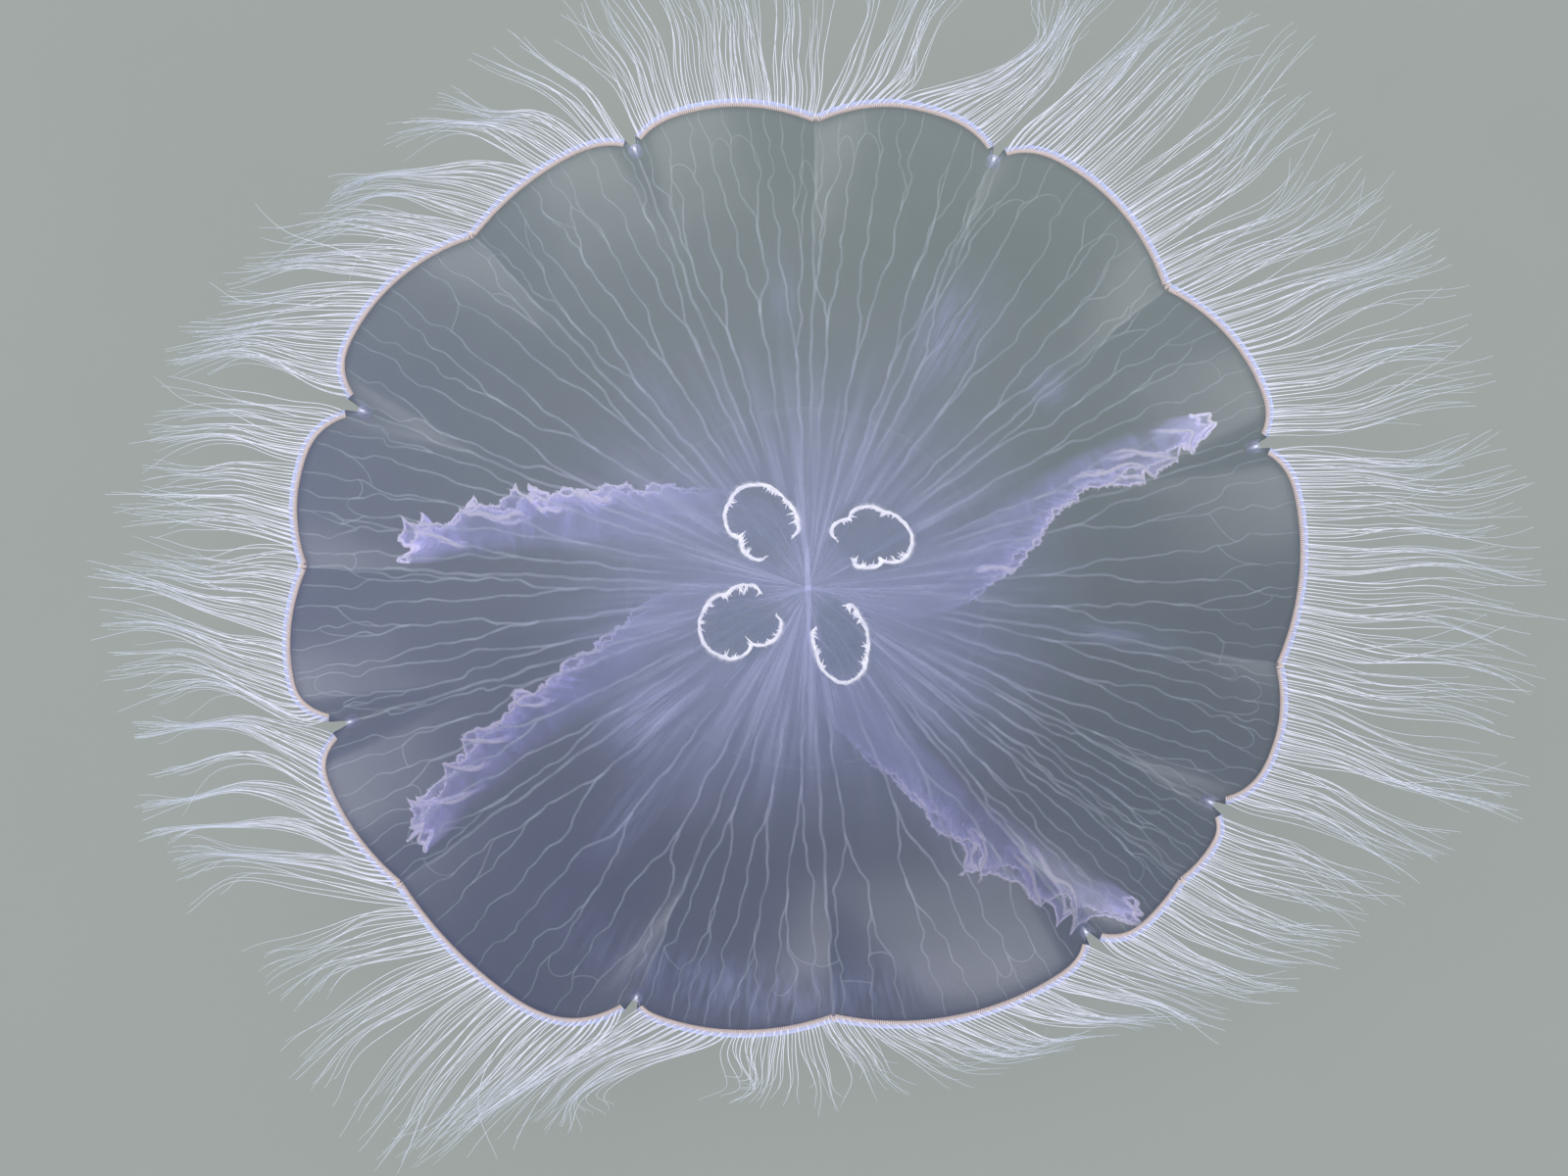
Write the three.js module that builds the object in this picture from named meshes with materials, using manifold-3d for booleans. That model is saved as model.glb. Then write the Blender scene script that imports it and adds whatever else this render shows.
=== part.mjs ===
// A life-size moon jellyfish (Aurelia) at full stretch, held bell up on a plain display stand.
// Millimetres, +Z up. The origin is the middle of the underside of the stand's base.
// Bearings are in degrees, counter-clockwise from +X seen from above. The bell is one thin-edged
// lens, parted at the crown and at its eight sense organs into a crown and eight lobes.
import * as THREE from "three";
import { mergeVertices } from "three/addons/utils/BufferGeometryUtils.js";
import Module from "manifold-3d";

const wasm = await Module();
wasm.setup();

// ---- Driving dimensions ----
const EDGE_Z = 96; // height of the bell's edge
const DOME_RISE = 50; // crown above the edge
const DOME_FULLNESS = 0.88; // 1 is a parabola, less is fuller at the shoulder
const EDGE_THICK = 1.6; // bell tissue at the edge
const JELLY_THICK = 17; // what the jelly adds to that in the middle
const JELLY_TAPER = 1.4; // how fast the jelly thins towards the edge
const CROWN_R = 46; // where the crown is parted from the lobes
const PART_GAP = 0.3; // clearance between neighbouring solids
const BAND = 2.4; // width of the band that bears the tentacles
const CLEFT_DEPTH = 7; // how far the cleft at a sense organ runs in from the edge
const CLEFT_HALF = 1.9; // its half width at the edge

// The edge of the bell: dips and swells in turn, each with its bearing and its reach from the
// centre. Every fourth entry, from the first, is the dip at a sense organ.
const EDGE = [
  [17.5, 136.6], [25, 143.4], [40, 135.2], [57, 143.5],
  [66.5, 136.0], [77, 142.2], [89, 135.2], [103, 142.0],
  [111.5, 137.2], [121, 142.7], [133.5, 140.3], [150, 150.4],
  [158.3, 139.4], [168, 150.4], [177.5, 145.3], [189, 151.2],
  [196.3, 138.6], [203, 149.6], [216, 145.3], [232, 146.7],
  [247.3, 130.0], [252, 132.4], [273.5, 124.9], [302, 134.0],
  [309, 128.8], [317, 137.5], [322, 136.9], [327, 138.6],
  [332, 132.7], [342, 142.4], [350.7, 137.8], [369, 143.8],
];
const DIP_SHARPNESS = { organ: 3.2, middle: 1.9 }; // how steeply the edge leaves a dip
const LOBES = 8;
// The dome under the scallops is round in plan but for a push to one side and an oval stretch.
const ROUND = { mean: 140.3, push: 5.8, pushTo: 140, stretch: 6.4, stretchTo: 9, until: 0.55 };
// The side where the edge curls under: its bearing, half width, drop and how late it sets in.
const CURLED_EDGE = { bearing: 262, half: 62, drop: 9, late: 4 };
const CROWN_RINGS = [0, 14, 30, CROWN_R];
const LOBE_RINGS = [0, 0.4, 0.75, 1]; // shares of the way from the crown to the band
const DIP_STEPS = [0, 0.12, 0.42, 1]; // shares of the way from a dip to a swell
const CROWN_SIDES = 20;

// How the tentacles stream at places round the edge: bearing of the place, bearing of a tentacle
// at its root and at its tip, its length, and how far its tip hangs below the edge.
const STREAM = [
  { at: 9, root: 358, tip: 5, length: 70, drop: 14 },
  { at: 25, root: 8, tip: 18, length: 64, drop: 16 },
  { at: 40, root: 26, tip: 36, length: 68, drop: 18 },
  { at: 57, root: 42, tip: 48, length: 72, drop: 18 },
  { at: 70, root: 36, tip: 54, length: 62, drop: 14 },
  { at: 80, root: 20, tip: 74, length: 46, drop: 10 },
  { at: 91, root: 84, tip: 94, length: 46, drop: 14 },
  { at: 110, root: 116, tip: 124, length: 50, drop: 16 },
  { at: 121, root: 158, tip: 182, length: 54, drop: 12 },
  { at: 134, root: 166, tip: 188, length: 50, drop: 14 },
  { at: 150, root: 178, tip: 186, length: 56, drop: 18 },
  { at: 168, root: 172, tip: 180, length: 52, drop: 20 },
  { at: 189, root: 152, tip: 172, length: 60, drop: 16 },
  { at: 203, root: 158, tip: 204, length: 58, drop: 14 },
  { at: 215, root: 176, tip: 178, length: 60, drop: 18 },
  { at: 232, root: 222, tip: 238, length: 62, drop: 20 },
  { at: 247, root: 208, tip: 220, length: 62, drop: 26 },
  { at: 262, root: 250, tip: 226, length: 28, drop: 20 },
  { at: 282, root: 320, tip: 356, length: 42, drop: 22 },
  { at: 304, root: 326, tip: 344, length: 50, drop: 22 },
  { at: 317, root: 330, tip: 346, length: 52, drop: 18 },
  { at: 330, root: 338, tip: 334, length: 56, drop: 16 },
  { at: 345, root: 346, tip: 342, length: 72, drop: 14 },
];
const STRAND_EVERY = 4.4; // degrees of edge per lock of tentacles
const STRAND = { wide: 5.2, seatWide: 2.2, tipWide: 1.2, thick: 0.9, steps: 3 };

// The four gonads: loops open towards the mouth, each with its centre, half length and half
// width, the bearing of its length, the bearing and half angle of its opening, and the bearing
// and depth of each dent in its wall.
const GONADS = [
  { x: 17.4, y: 13.9, long: 11.6, wide: 8.7, turn: -14, open: 206, openHalf: 18, dents: [[139, 0.2], [297, 0.2]] },
  { x: -13.0, y: 18.0, long: 11.2, wide: 9.9, turn: 128, open: 307, openHalf: 25, dents: [[216, 0.22]] },
  { x: -18.7, y: -9.4, long: 11.8, wide: 10.3, turn: 20, open: 33, openHalf: 19, dents: [[117, 0.1], [297, 0.28]] },
  { x: 8.9, y: -14.5, long: 11.8, wide: 7.8, turn: 100, open: 118, openHalf: 31, dents: [[201, 0.06]] },
];
const GONAD = { wide: 0.85, high: 1.02, sides: 5, dentHalf: 18, steps: 14 };
const POUCH = { margin: 1.5, deep: 3.2, sides: 12 };

// The four oral arms: the bearing each sets out on, the one it is swept to and after how far,
// the bearing of its tip, its length, and its waist: how much narrower it is there, the share
// of its length where that is, and over what share it fades. The leaves open towards its
// clockwise side.
const ARMS = [
  { name: "north", start: 115, swept: 177, sweptBy: 22, end: 193, length: 119, waist: [0, 0.5, 0.2] },
  { name: "west", start: 182, swept: 217, sweptBy: 48, end: 230, length: 130, waist: [0.24, 0.42, 0.2] },
  { name: "south", start: 275, swept: 312, sweptBy: 28, end: 336, length: 132, waist: [0.2, 0.42, 0.18] },
  { name: "east", start: 350, swept: 397, sweptBy: 42, end: 384, length: 121, waist: [0.38, 0.63, 0.13] },
];
const ARM = {
  from: 8, // where the arms leave the mouth's stalk
  rootZ: 110,
  drop: 35, // tip below root
  leaf: 21.8, // width of each leaf, in the middle of the arm
  midrib: 11.5, // how far the midrib lies to one side of the arm's line
  thick: 1.1,
  open: 26, // half angle between the two leaves, in degrees
  sag: 0.8, // what their weight leaves of that angle's height
  frill: 2.4, // swing of the frilled edges
  frills: 7, // waves along one arm
  pieces: 3,
};
const ORGAN_SIZE = { inset: 2.6, long: 2, wide: 1.05, high: 0.9 };

const STALK = { r: 7.2, lobe: 1.6, bottomZ: 104, sides: 24 }; // the mouth's four-sided stalk
const BASE = { r: 56, h: 12, bevel: 1.5, sides: 28 };
const COLLAR = { r: 9, h: 5, sides: 16 };
const ROD = { r: 3.6, sides: 12 };

// ---- Small maths ----
const rad = (degrees) => (degrees * Math.PI) / 180;
const mix = (a, b, t) => a + (b - a) * t;
const clamp01 = (t) => Math.min(1, Math.max(0, t));
const smooth = (t) => clamp01(t) * clamp01(t) * (3 - 2 * clamp01(t));
const turnTo = (a, b) => ((((b - a) % 360) + 540) % 360) - 180; // shortest turn from a to b

// ---- The bell's form ----
// Reach of the edge at a bearing. From a dip the edge swings out fast and then rounds over.
function edgeReach(bearing) {
  const wrapped = EDGE[0][0] + ((((bearing - EDGE[0][0]) % 360) + 360) % 360);
  let k = EDGE.length - 1;
  while (EDGE[k][0] > wrapped) k -= 1;
  const [from, to] = [EDGE[k], k + 1 < EDGE.length ? EDGE[k + 1] : [EDGE[0][0] + 360, EDGE[0][1]]];
  const t = (wrapped - from[0]) / (to[0] - from[0]);
  const rising = k % 2 === 0; // from a dip to a swell
  const dip = rising ? k : (k + 1) % EDGE.length;
  const sharpness = dip % 4 === 0 ? DIP_SHARPNESS.organ : DIP_SHARPNESS.middle;
  const fromDip = rising ? t : 1 - t;
  const [low, high] = rising ? [from[1], to[1]] : [to[1], from[1]];
  return mix(low, high, 1 - (1 - fromDip) ** sharpness);
}

const curl = (bearing) =>
  CURLED_EDGE.drop * smooth(1 - Math.abs(turnTo(CURLED_EDGE.bearing, bearing)) / CURLED_EDGE.half);
const roundReach = (bearing) =>
  ROUND.mean
  + ROUND.push * Math.cos(rad(bearing - ROUND.pushTo))
  + ROUND.stretch * Math.cos(rad(2 * (bearing - ROUND.stretchTo)));

// How far out a point is, as a share of the reach: of the round dome's reach over the middle,
// and more and more of the scalloped edge's towards the edge.
function share(r, bearing) {
  const edge = edgeReach(bearing);
  return r / mix(roundReach(bearing), edge, smooth((r / edge - ROUND.until) / (1 - ROUND.until)));
}
const upperZ = (r, bearing) => {
  const s = Math.min(1, share(r, bearing));
  return EDGE_Z + DOME_RISE * (1 - s * s) ** DOME_FULLNESS - curl(bearing) * s ** CURLED_EDGE.late;
};
const thickness = (r, bearing) =>
  EDGE_THICK + JELLY_THICK * Math.max(0, 1 - share(r, bearing) ** 2) ** JELLY_TAPER;
const lowerZ = (r, bearing) => upperZ(r, bearing) - thickness(r, bearing);
const polar = (r, bearing, z) =>
  new THREE.Vector3(r * Math.cos(rad(bearing)), r * Math.sin(rad(bearing)), z);

// ---- Making solids ----
// A closed geometry from corner points and triangles, turned to face outwards.
function closed(points, triangles) {
  const position = new Float32Array(points.flatMap((p) => [p.x, p.y, p.z]));
  let volume = 0;
  for (const [a, b, c] of triangles) {
    volume += points[a].dot(new THREE.Vector3().crossVectors(points[b], points[c]));
  }
  const facing = volume < 0 ? triangles.map(([a, b, c]) => [a, c, b]) : triangles;
  return new THREE.BufferGeometry()
    .setAttribute("position", new THREE.BufferAttribute(position, 3))
    .setIndex(facing.flat());
}

// A slab between two sheets of points, at(u, v, side) with side 0 above and 1 below. u and v are
// lists of numbers. Where round is true, v closes on itself, and u may start at a pole.
function slab(u, v, at, round = false) {
  const points = [];
  for (const side of [0, 1]) {
    for (const a of u) for (const b of v) points.push(at(a, b, side));
  }
  const n = v.length;
  const sheet = u.length * n;
  const index = (i, j, side) => side * sheet + i * n + (j % n);
  const triangles = [];
  const quad = (a, b, c, d) => triangles.push([a, b, c], [a, c, d]);
  const spans = round ? n : n - 1;
  for (let i = 0; i + 1 < u.length; i += 1) {
    for (let j = 0; j < spans; j += 1) {
      quad(index(i, j, 0), index(i + 1, j, 0), index(i + 1, j + 1, 0), index(i, j + 1, 0));
      quad(index(i, j, 1), index(i, j + 1, 1), index(i + 1, j + 1, 1), index(i + 1, j, 1));
    }
  }
  const last = u.length - 1;
  for (let j = 0; j < spans; j += 1) {
    quad(index(0, j, 0), index(0, j + 1, 0), index(0, j + 1, 1), index(0, j, 1));
    quad(index(last, j, 0), index(last, j, 1), index(last, j + 1, 1), index(last, j + 1, 0));
  }
  if (!round) {
    for (let i = 0; i < last; i += 1) {
      quad(index(i, 0, 0), index(i, 0, 1), index(i + 1, 0, 1), index(i + 1, 0, 0));
      quad(index(i, n - 1, 0), index(i + 1, n - 1, 0), index(i + 1, n - 1, 1), index(i, n - 1, 1));
    }
  }
  return closed(points, triangles);
}

// A tube of a fixed outline, given as [across, up] points, carried along a list of stations
// { at, across, up, scale } and closed flat at both ends.
function sweep(outline, stations) {
  const n = outline.length;
  const points = stations.flatMap((s) =>
    outline.map(([a, b]) =>
      s.at.clone().addScaledVector(s.across, a * s.scale).addScaledVector(s.up, b * s.scale)),
  );
  const triangles = [];
  for (let i = 0; i + 1 < stations.length; i += 1) {
    for (let j = 0; j < n; j += 1) {
      const [a, b] = [i * n + j, i * n + ((j + 1) % n)];
      triangles.push([a, b, b + n], [a, b + n, a + n]);
    }
  }
  const end = (stations.length - 1) * n;
  for (let j = 1; j + 1 < n; j += 1) triangles.push([0, j + 1, j], [end, end + j, end + j + 1]);
  return closed(points, triangles);
}

// An upright column whose outline is a reach at each bearing.
function upright(reach, sides, bottom, top) {
  const outline = Array.from({ length: sides }, (_, k) => {
    const corner = polar(reach((360 * k) / sides), (360 * k) / sides, 0);
    return new THREE.Vector2(corner.x, corner.y);
  });
  const column = { depth: top - bottom, bevelEnabled: false };
  return new THREE.ExtrudeGeometry(new THREE.Shape(outline), column).translate(0, 0, bottom);
}

// A geometry as a solid. Triangles that shrink to nothing at a pole are dropped.
function toManifold(geometry) {
  const bare = geometry.clone();
  bare.deleteAttribute("normal");
  bare.deleteAttribute("uv");
  const merged = mergeVertices(bare, 1e-4);
  const corners = Array.from(merged.index.array);
  const kept = corners.filter((_, k) => {
    const [a, b, c] = corners.slice(k - (k % 3), k - (k % 3) + 3);
    return a !== b && b !== c && c !== a;
  });
  const vertProperties = merged.attributes.position.array;
  return new wasm.Manifold(
    new wasm.Mesh({ numProp: 3, vertProperties, triVerts: new Uint32Array(kept) }),
  );
}

function toGeometry(manifold) {
  const mesh = manifold.getMesh();
  return new THREE.BufferGeometry()
    .setAttribute("position", new THREE.BufferAttribute(new Float32Array(mesh.vertProperties), 3))
    .setIndex(new THREE.BufferAttribute(new Uint32Array(mesh.triVerts), 1));
}

// ---- Materials and the model ----
const material = (color, roughness, opacity = 1) =>
  new THREE.MeshStandardMaterial({
    color, roughness, metalness: 0, opacity, transparent: opacity < 1, side: THREE.DoubleSide,
  });
const JELLY = material(0x8fa0b4, 0.3, 0.55);
const VEIL = material(0xbab8dc, 0.4, 0.75);
const THREAD = material(0xd6d9e8, 0.45, 0.9);
const GONAD_WHITE = material(0xf0eefa, 0.4);
const ORGAN = material(0xf4f2ff, 0.25);
const ACRYLIC = material(0xe8eef0, 0.08, 0.35);

const jellyfish = new THREE.Group();
function add(name, geometry, finish) {
  const mesh = new THREE.Mesh(geometry, finish.clone());
  mesh.name = name;
  jellyfish.add(mesh);
}

// ---- The bell ----
// One gonad's loop: an oval of the given half length and width, with its dents.
function loopReach(g, bearing) {
  const along = rad(bearing - g.turn);
  const oval = 1 / Math.hypot(Math.cos(along) / g.long, Math.sin(along) / g.wide);
  return g.dents.reduce(
    (reach, [at, depth]) => reach - oval * depth * Math.exp(-((turnTo(at, bearing) / GONAD.dentHalf) ** 2)),
    oval,
  );
}

// The pouch that holds a gonad: an upright plug of the loop's outline, cut from the crown.
function pouchPlug(g) {
  const reach = (bearing) => loopReach({ ...g, dents: [] }, bearing) + POUCH.margin;
  const top = pouchRoof(g);
  return upright(reach, POUCH.sides, top - JELLY_THICK, top).translate(g.x, g.y, 0);
}

function pouchRoof(g) {
  const r = Math.hypot(g.x, g.y);
  return lowerZ(r, (Math.atan2(g.y, g.x) * 180) / Math.PI) + POUCH.deep;
}

function crown() {
  const bearings = Array.from({ length: CROWN_SIDES }, (_, k) => (360 * k) / CROWN_SIDES);
  const at = (r, bearing, side) =>
    polar(r, bearing, side === 0 ? upperZ(r, bearing) : lowerZ(r, bearing));
  let whole = toManifold(slab(CROWN_RINGS, bearings, at, true));
  for (const g of GONADS) whole = whole.subtract(toManifold(pouchPlug(g)));
  return toGeometry(whole);
}

// Bearings along one lobe's edge, closer together where the edge turns fast.
function lobeBearings(lobe) {
  const list = [];
  for (let k = 4 * lobe; k < 4 * lobe + 4; k += 1) {
    const from = EDGE[k][0];
    const to = k + 1 < EDGE.length ? EDGE[k + 1][0] : EDGE[0][0] + 360;
    const rising = k % 2 === 0;
    const shares = rising ? DIP_STEPS : DIP_STEPS.map((s) => 1 - s).reverse();
    for (const s of shares.slice(0, -1)) list.push(mix(from, to, s));
    if (k === 4 * lobe + 3) list.push(to);
  }
  return list;
}

// A lobe's side walls keep clear of the next lobe, and draw back further in the cleft.
function clearOfNeighbours(lobe, r, bearing) {
  const from = EDGE[4 * lobe][0];
  const to = lobe + 1 < LOBES ? EDGE[4 * lobe + 4][0] : EDGE[0][0] + 360;
  const half = (to - from) / 2;
  const depth = clamp01((r - (Math.min(edgeReach(from), edgeReach(to)) - CLEFT_DEPTH)) / CLEFT_DEPTH);
  const back = mix(PART_GAP / 2, CLEFT_HALF, smooth(depth));
  const squeeze = 1 - ((back / r) * 180) / Math.PI / half;
  return from + half + (bearing - from - half) * squeeze;
}

function lobe(k) {
  return slab(LOBE_RINGS, lobeBearings(k), (s, bearing, side) => {
    const r = mix(CROWN_R + PART_GAP, edgeReach(bearing) - BAND - PART_GAP, s);
    const z = side === 0 ? upperZ(r, bearing) : lowerZ(r, bearing);
    return polar(r, clearOfNeighbours(k, r, bearing), z);
  });
}

// ---- The tentacles ----
// The stream at any bearing, blended between the two places listed either side of it.
function streamAt(bearing) {
  const wrapped = STREAM[0].at + ((((bearing - STREAM[0].at) % 360) + 360) % 360);
  let k = STREAM.length - 1;
  while (STREAM[k].at > wrapped) k -= 1;
  const a = STREAM[k];
  const b = STREAM[(k + 1) % STREAM.length];
  const t = (wrapped - a.at) / ((((b.at - a.at) % 360) + 360) % 360);
  return {
    root: a.root + turnTo(a.root, b.root) * t,
    tip: a.tip + turnTo(a.tip, b.tip) * t,
    length: mix(a.length, b.length, t),
    drop: mix(a.drop, b.drop, t),
  };
}

// Reach of the band itself, which runs straight between its corners.
function bandReach(k, bearing) {
  const corners = lobeBearings(k);
  const next = Math.max(1, corners.findIndex((corner) => corner >= bearing));
  const [a, b] = [corners[next - 1], corners[next]];
  return mix(edgeReach(a), edgeReach(b), (bearing - a) / (b - a));
}

// One lock of tentacles: a flat blade that leaves the band and turns from the root's bearing to
// the tip's as it sinks.
function strand(k, bearing) {
  const flow = streamAt(bearing);
  const r = bandReach(k, bearing) - BAND / 2;
  const at = polar(r, clearOfNeighbours(k, r, bearing), EDGE_Z - curl(bearing) - EDGE_THICK / 2);
  const stations = [];
  const step = flow.length / STRAND.steps;
  for (let n = 0; n <= STRAND.steps; n += 1) {
    const s = n / STRAND.steps;
    const heading = flow.root + turnTo(flow.root, flow.tip) * smooth(s);
    const taper = (n - 1) / (STRAND.steps - 1);
    const wide = n === 0 ? STRAND.seatWide : mix(STRAND.wide, STRAND.tipWide, taper);
    stations.push({
      at: at.clone(),
      across: polar(wide / 2, heading + 90, 0),
      up: new THREE.Vector3(0, 0, STRAND.thick / 2),
      scale: 1,
    });
    const sink = -(flow.drop / flow.length) * 2 * (s + 0.5 / STRAND.steps);
    const run = Math.sqrt(Math.max(0.05, 1 - sink * sink));
    at.add(polar(step * run, heading, step * sink));
  }
  return sweep([[-1, -0.8], [1, -0.8], [0, 1]], stations);
}

function fringe(k) {
  const band = slab([0, 1], lobeBearings(k), (s, bearing, side) => {
    const r = edgeReach(bearing) - BAND * (1 - s);
    return polar(r, clearOfNeighbours(k, r, bearing), upperZ(r, bearing) - EDGE_THICK * side);
  });
  const from = EDGE[4 * k][0];
  const to = k + 1 < LOBES ? EDGE[4 * k + 4][0] : EDGE[0][0] + 360;
  let whole = toManifold(band);
  const count = Math.round((to - from) / STRAND_EVERY);
  for (let n = 0; n < count; n += 1) {
    whole = whole.add(toManifold(strand(k, mix(from, to, (n + 0.5) / count))));
  }
  return toGeometry(whole);
}

// ---- Sense organs, gonads, stalk and arms ----
function senseOrgan(k) {
  const bearing = EDGE[4 * k][0];
  const r = edgeReach(bearing) - ORGAN_SIZE.inset;
  const seat = polar(r, bearing, upperZ(r, bearing) - EDGE_THICK / 2);
  return new THREE.SphereGeometry(1, 6, 5)
    .scale(ORGAN_SIZE.long, ORGAN_SIZE.wide, ORGAN_SIZE.high)
    .rotateZ(rad(bearing))
    .translate(seat.x, seat.y, seat.z);
}

function gonad(g) {
  const z = pouchRoof(g) - PART_GAP - GONAD.high;
  const outline = Array.from({ length: GONAD.sides }, (_, k) => {
    const turn = rad((360 * k) / GONAD.sides);
    return [GONAD.wide * Math.cos(turn), GONAD.high * Math.sin(turn)];
  });
  const from = g.open + g.openHalf;
  const span = 360 - 2 * g.openHalf;
  const centreline = (t) => {
    const bearing = from + span * t;
    const reach = loopReach(g, bearing);
    return new THREE.Vector3(g.x, g.y, z).add(polar(reach, bearing, 0));
  };
  const stations = Array.from({ length: GONAD.steps + 1 }, (_, k) => {
    const t = k / GONAD.steps;
    const way = centreline(Math.min(1, t + 0.01)).sub(centreline(Math.max(0, t - 0.01))).normalize();
    return {
      at: centreline(t),
      across: new THREE.Vector3(-way.y, way.x, 0),
      up: new THREE.Vector3(0, 0, 1),
      scale: k === 0 || k === GONAD.steps ? 0.6 : 1,
    };
  });
  return sweep(outline, stations);
}

// The stalk of the mouth: a four-lobed column that the stand's rod carries.
function stalk() {
  const reach = (bearing) => STALK.r - STALK.lobe * Math.cos(rad(4 * (bearing + 45)));
  const top = lowerZ(STALK.r + STALK.lobe, 40) - PART_GAP - 0.4;
  return upright(reach, STALK.sides, STALK.bottomZ, top);
}

// The line of an arm's midrib: it steps along a heading that turns as the arm is swept aside.
function armLine(arm) {
  const count = 24;
  const at = polar(ARM.from + STALK.lobe, arm.start, ARM.rootZ);
  const points = [];
  for (let k = 0; k <= count; k += 1) {
    const run = (arm.length * k) / count;
    const heading = arm.start
      + (arm.swept - arm.start) * smooth(run / arm.sweptBy)
      + (arm.end - arm.swept) * smooth((run - arm.sweptBy) / (arm.length - arm.sweptBy));
    points.push(at.clone());
    at.add(polar(arm.length / count, heading, (-ARM.drop / count) * (0.4 + (1.2 * k) / count)));
  }
  return new THREE.CatmullRomCurve3(points);
}

// One length of an arm: two leaves that part from the midrib, wider in the middle of the arm
// and frilled towards their free edges.
function armPiece(arm, line, piece) {
  const margin = PART_GAP / 2 / arm.length;
  const from = piece / ARM.pieces + (piece > 0 ? margin : 0);
  const to = (piece + 1) / ARM.pieces - (piece + 1 < ARM.pieces ? margin : 0);
  const along = [0, 0.2, 0.4, 0.6, 0.8, 1].map((s) => mix(from, to, s));
  const across = [-1, -0.55, 0, 0.55, 1]; // from one leaf's free edge over the midrib to the other's
  const sheetPoint = (t, v) => {
    const spine = line.getPoint(t);
    const way = line.getTangent(t).setZ(0).normalize();
    const clockwise = new THREE.Vector3(way.y, -way.x, 0);
    const fullness = Math.sin(Math.PI * clamp01(0.12 + 0.8 * t)) ** 0.7;
    const [narrower, waistAt, waistOver] = arm.waist;
    const waist = 1 - narrower * Math.exp(-(((t - waistAt) / waistOver) ** 2));
    const wide = ARM.leaf * fullness * waist * Math.abs(v);
    const spread = rad(ARM.open) * Math.sign(v);
    const frill = ARM.frill * fullness * v * v * Math.sin(2 * Math.PI * ARM.frills * t + v);
    return spine
      .addScaledVector(clockwise, wide * Math.cos(spread) - ARM.midrib * fullness)
      .add(new THREE.Vector3(0, 0, wide * Math.sin(spread) * ARM.sag + frill));
  };
  return slab(along, across, (t, v, side) => {
    const nudge = 0.004;
    const alongWay = sheetPoint(Math.min(1, t + nudge), v).sub(sheetPoint(Math.max(0, t - nudge), v));
    const acrossWay = sheetPoint(t, Math.min(1, v + nudge)).sub(sheetPoint(t, Math.max(-1, v - nudge)));
    const normal = alongWay.cross(acrossWay).normalize();
    return sheetPoint(t, v).addScaledVector(normal, (ARM.thick / 2) * (side === 0 ? 1 : -1));
  });
}

// ---- The stand ----
function standBase() {
  const profile = [
    [0, 0], [BASE.r - BASE.bevel, 0], [BASE.r, BASE.bevel],
    [BASE.r, BASE.h - BASE.bevel], [BASE.r - BASE.bevel, BASE.h], [0, BASE.h],
  ].map(([r, y]) => new THREE.Vector2(r, y));
  return new THREE.LatheGeometry(profile, BASE.sides).rotateX(Math.PI / 2);
}

const roundPost = (r, sides, bottom, top) => upright(() => r, sides, bottom, top);
const COLLAR_BOTTOM = BASE.h + PART_GAP;
const ROD_BOTTOM = COLLAR_BOTTOM + COLLAR.h + PART_GAP;
const ROD_TOP = STALK.bottomZ - PART_GAP;

// ---- Putting it together ----
add("bell_crown", crown(), JELLY);
for (let k = 0; k < LOBES; k += 1) {
  add(`bell_lobe_${k + 1}`, lobe(k), JELLY);
  add(`tentacles_${k + 1}`, fringe(k), THREAD);
  add(`sense_organ_${k + 1}`, senseOrgan(k), ORGAN);
}
GONADS.forEach((g, k) => add(`gonad_${k + 1}`, gonad(g), GONAD_WHITE));
add("mouth_stalk", stalk(), VEIL);
for (const arm of ARMS) {
  const line = armLine(arm);
  ["root", "middle", "tip"].forEach((part, piece) =>
    add(`oral_arm_${arm.name}_${part}`, armPiece(arm, line, piece), VEIL));
}
add("stand_base", standBase(), ACRYLIC);
add("stand_collar", roundPost(COLLAR.r, COLLAR.sides, COLLAR_BOTTOM, COLLAR_BOTTOM + COLLAR.h), ACRYLIC);
add("stand_rod", roundPost(ROD.r, ROD.sides, ROD_BOTTOM, ROD_TOP), ACRYLIC);

export default jellyfish;
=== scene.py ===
"""A moon jellyfish as a museum shows it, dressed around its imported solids.

Shapes are worked out in millimetres and made in metres. Bearings are in degrees,
counter-clockwise from +X seen from above, round the upright axis through the mouth.
"""

import math
from collections import namedtuple

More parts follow.
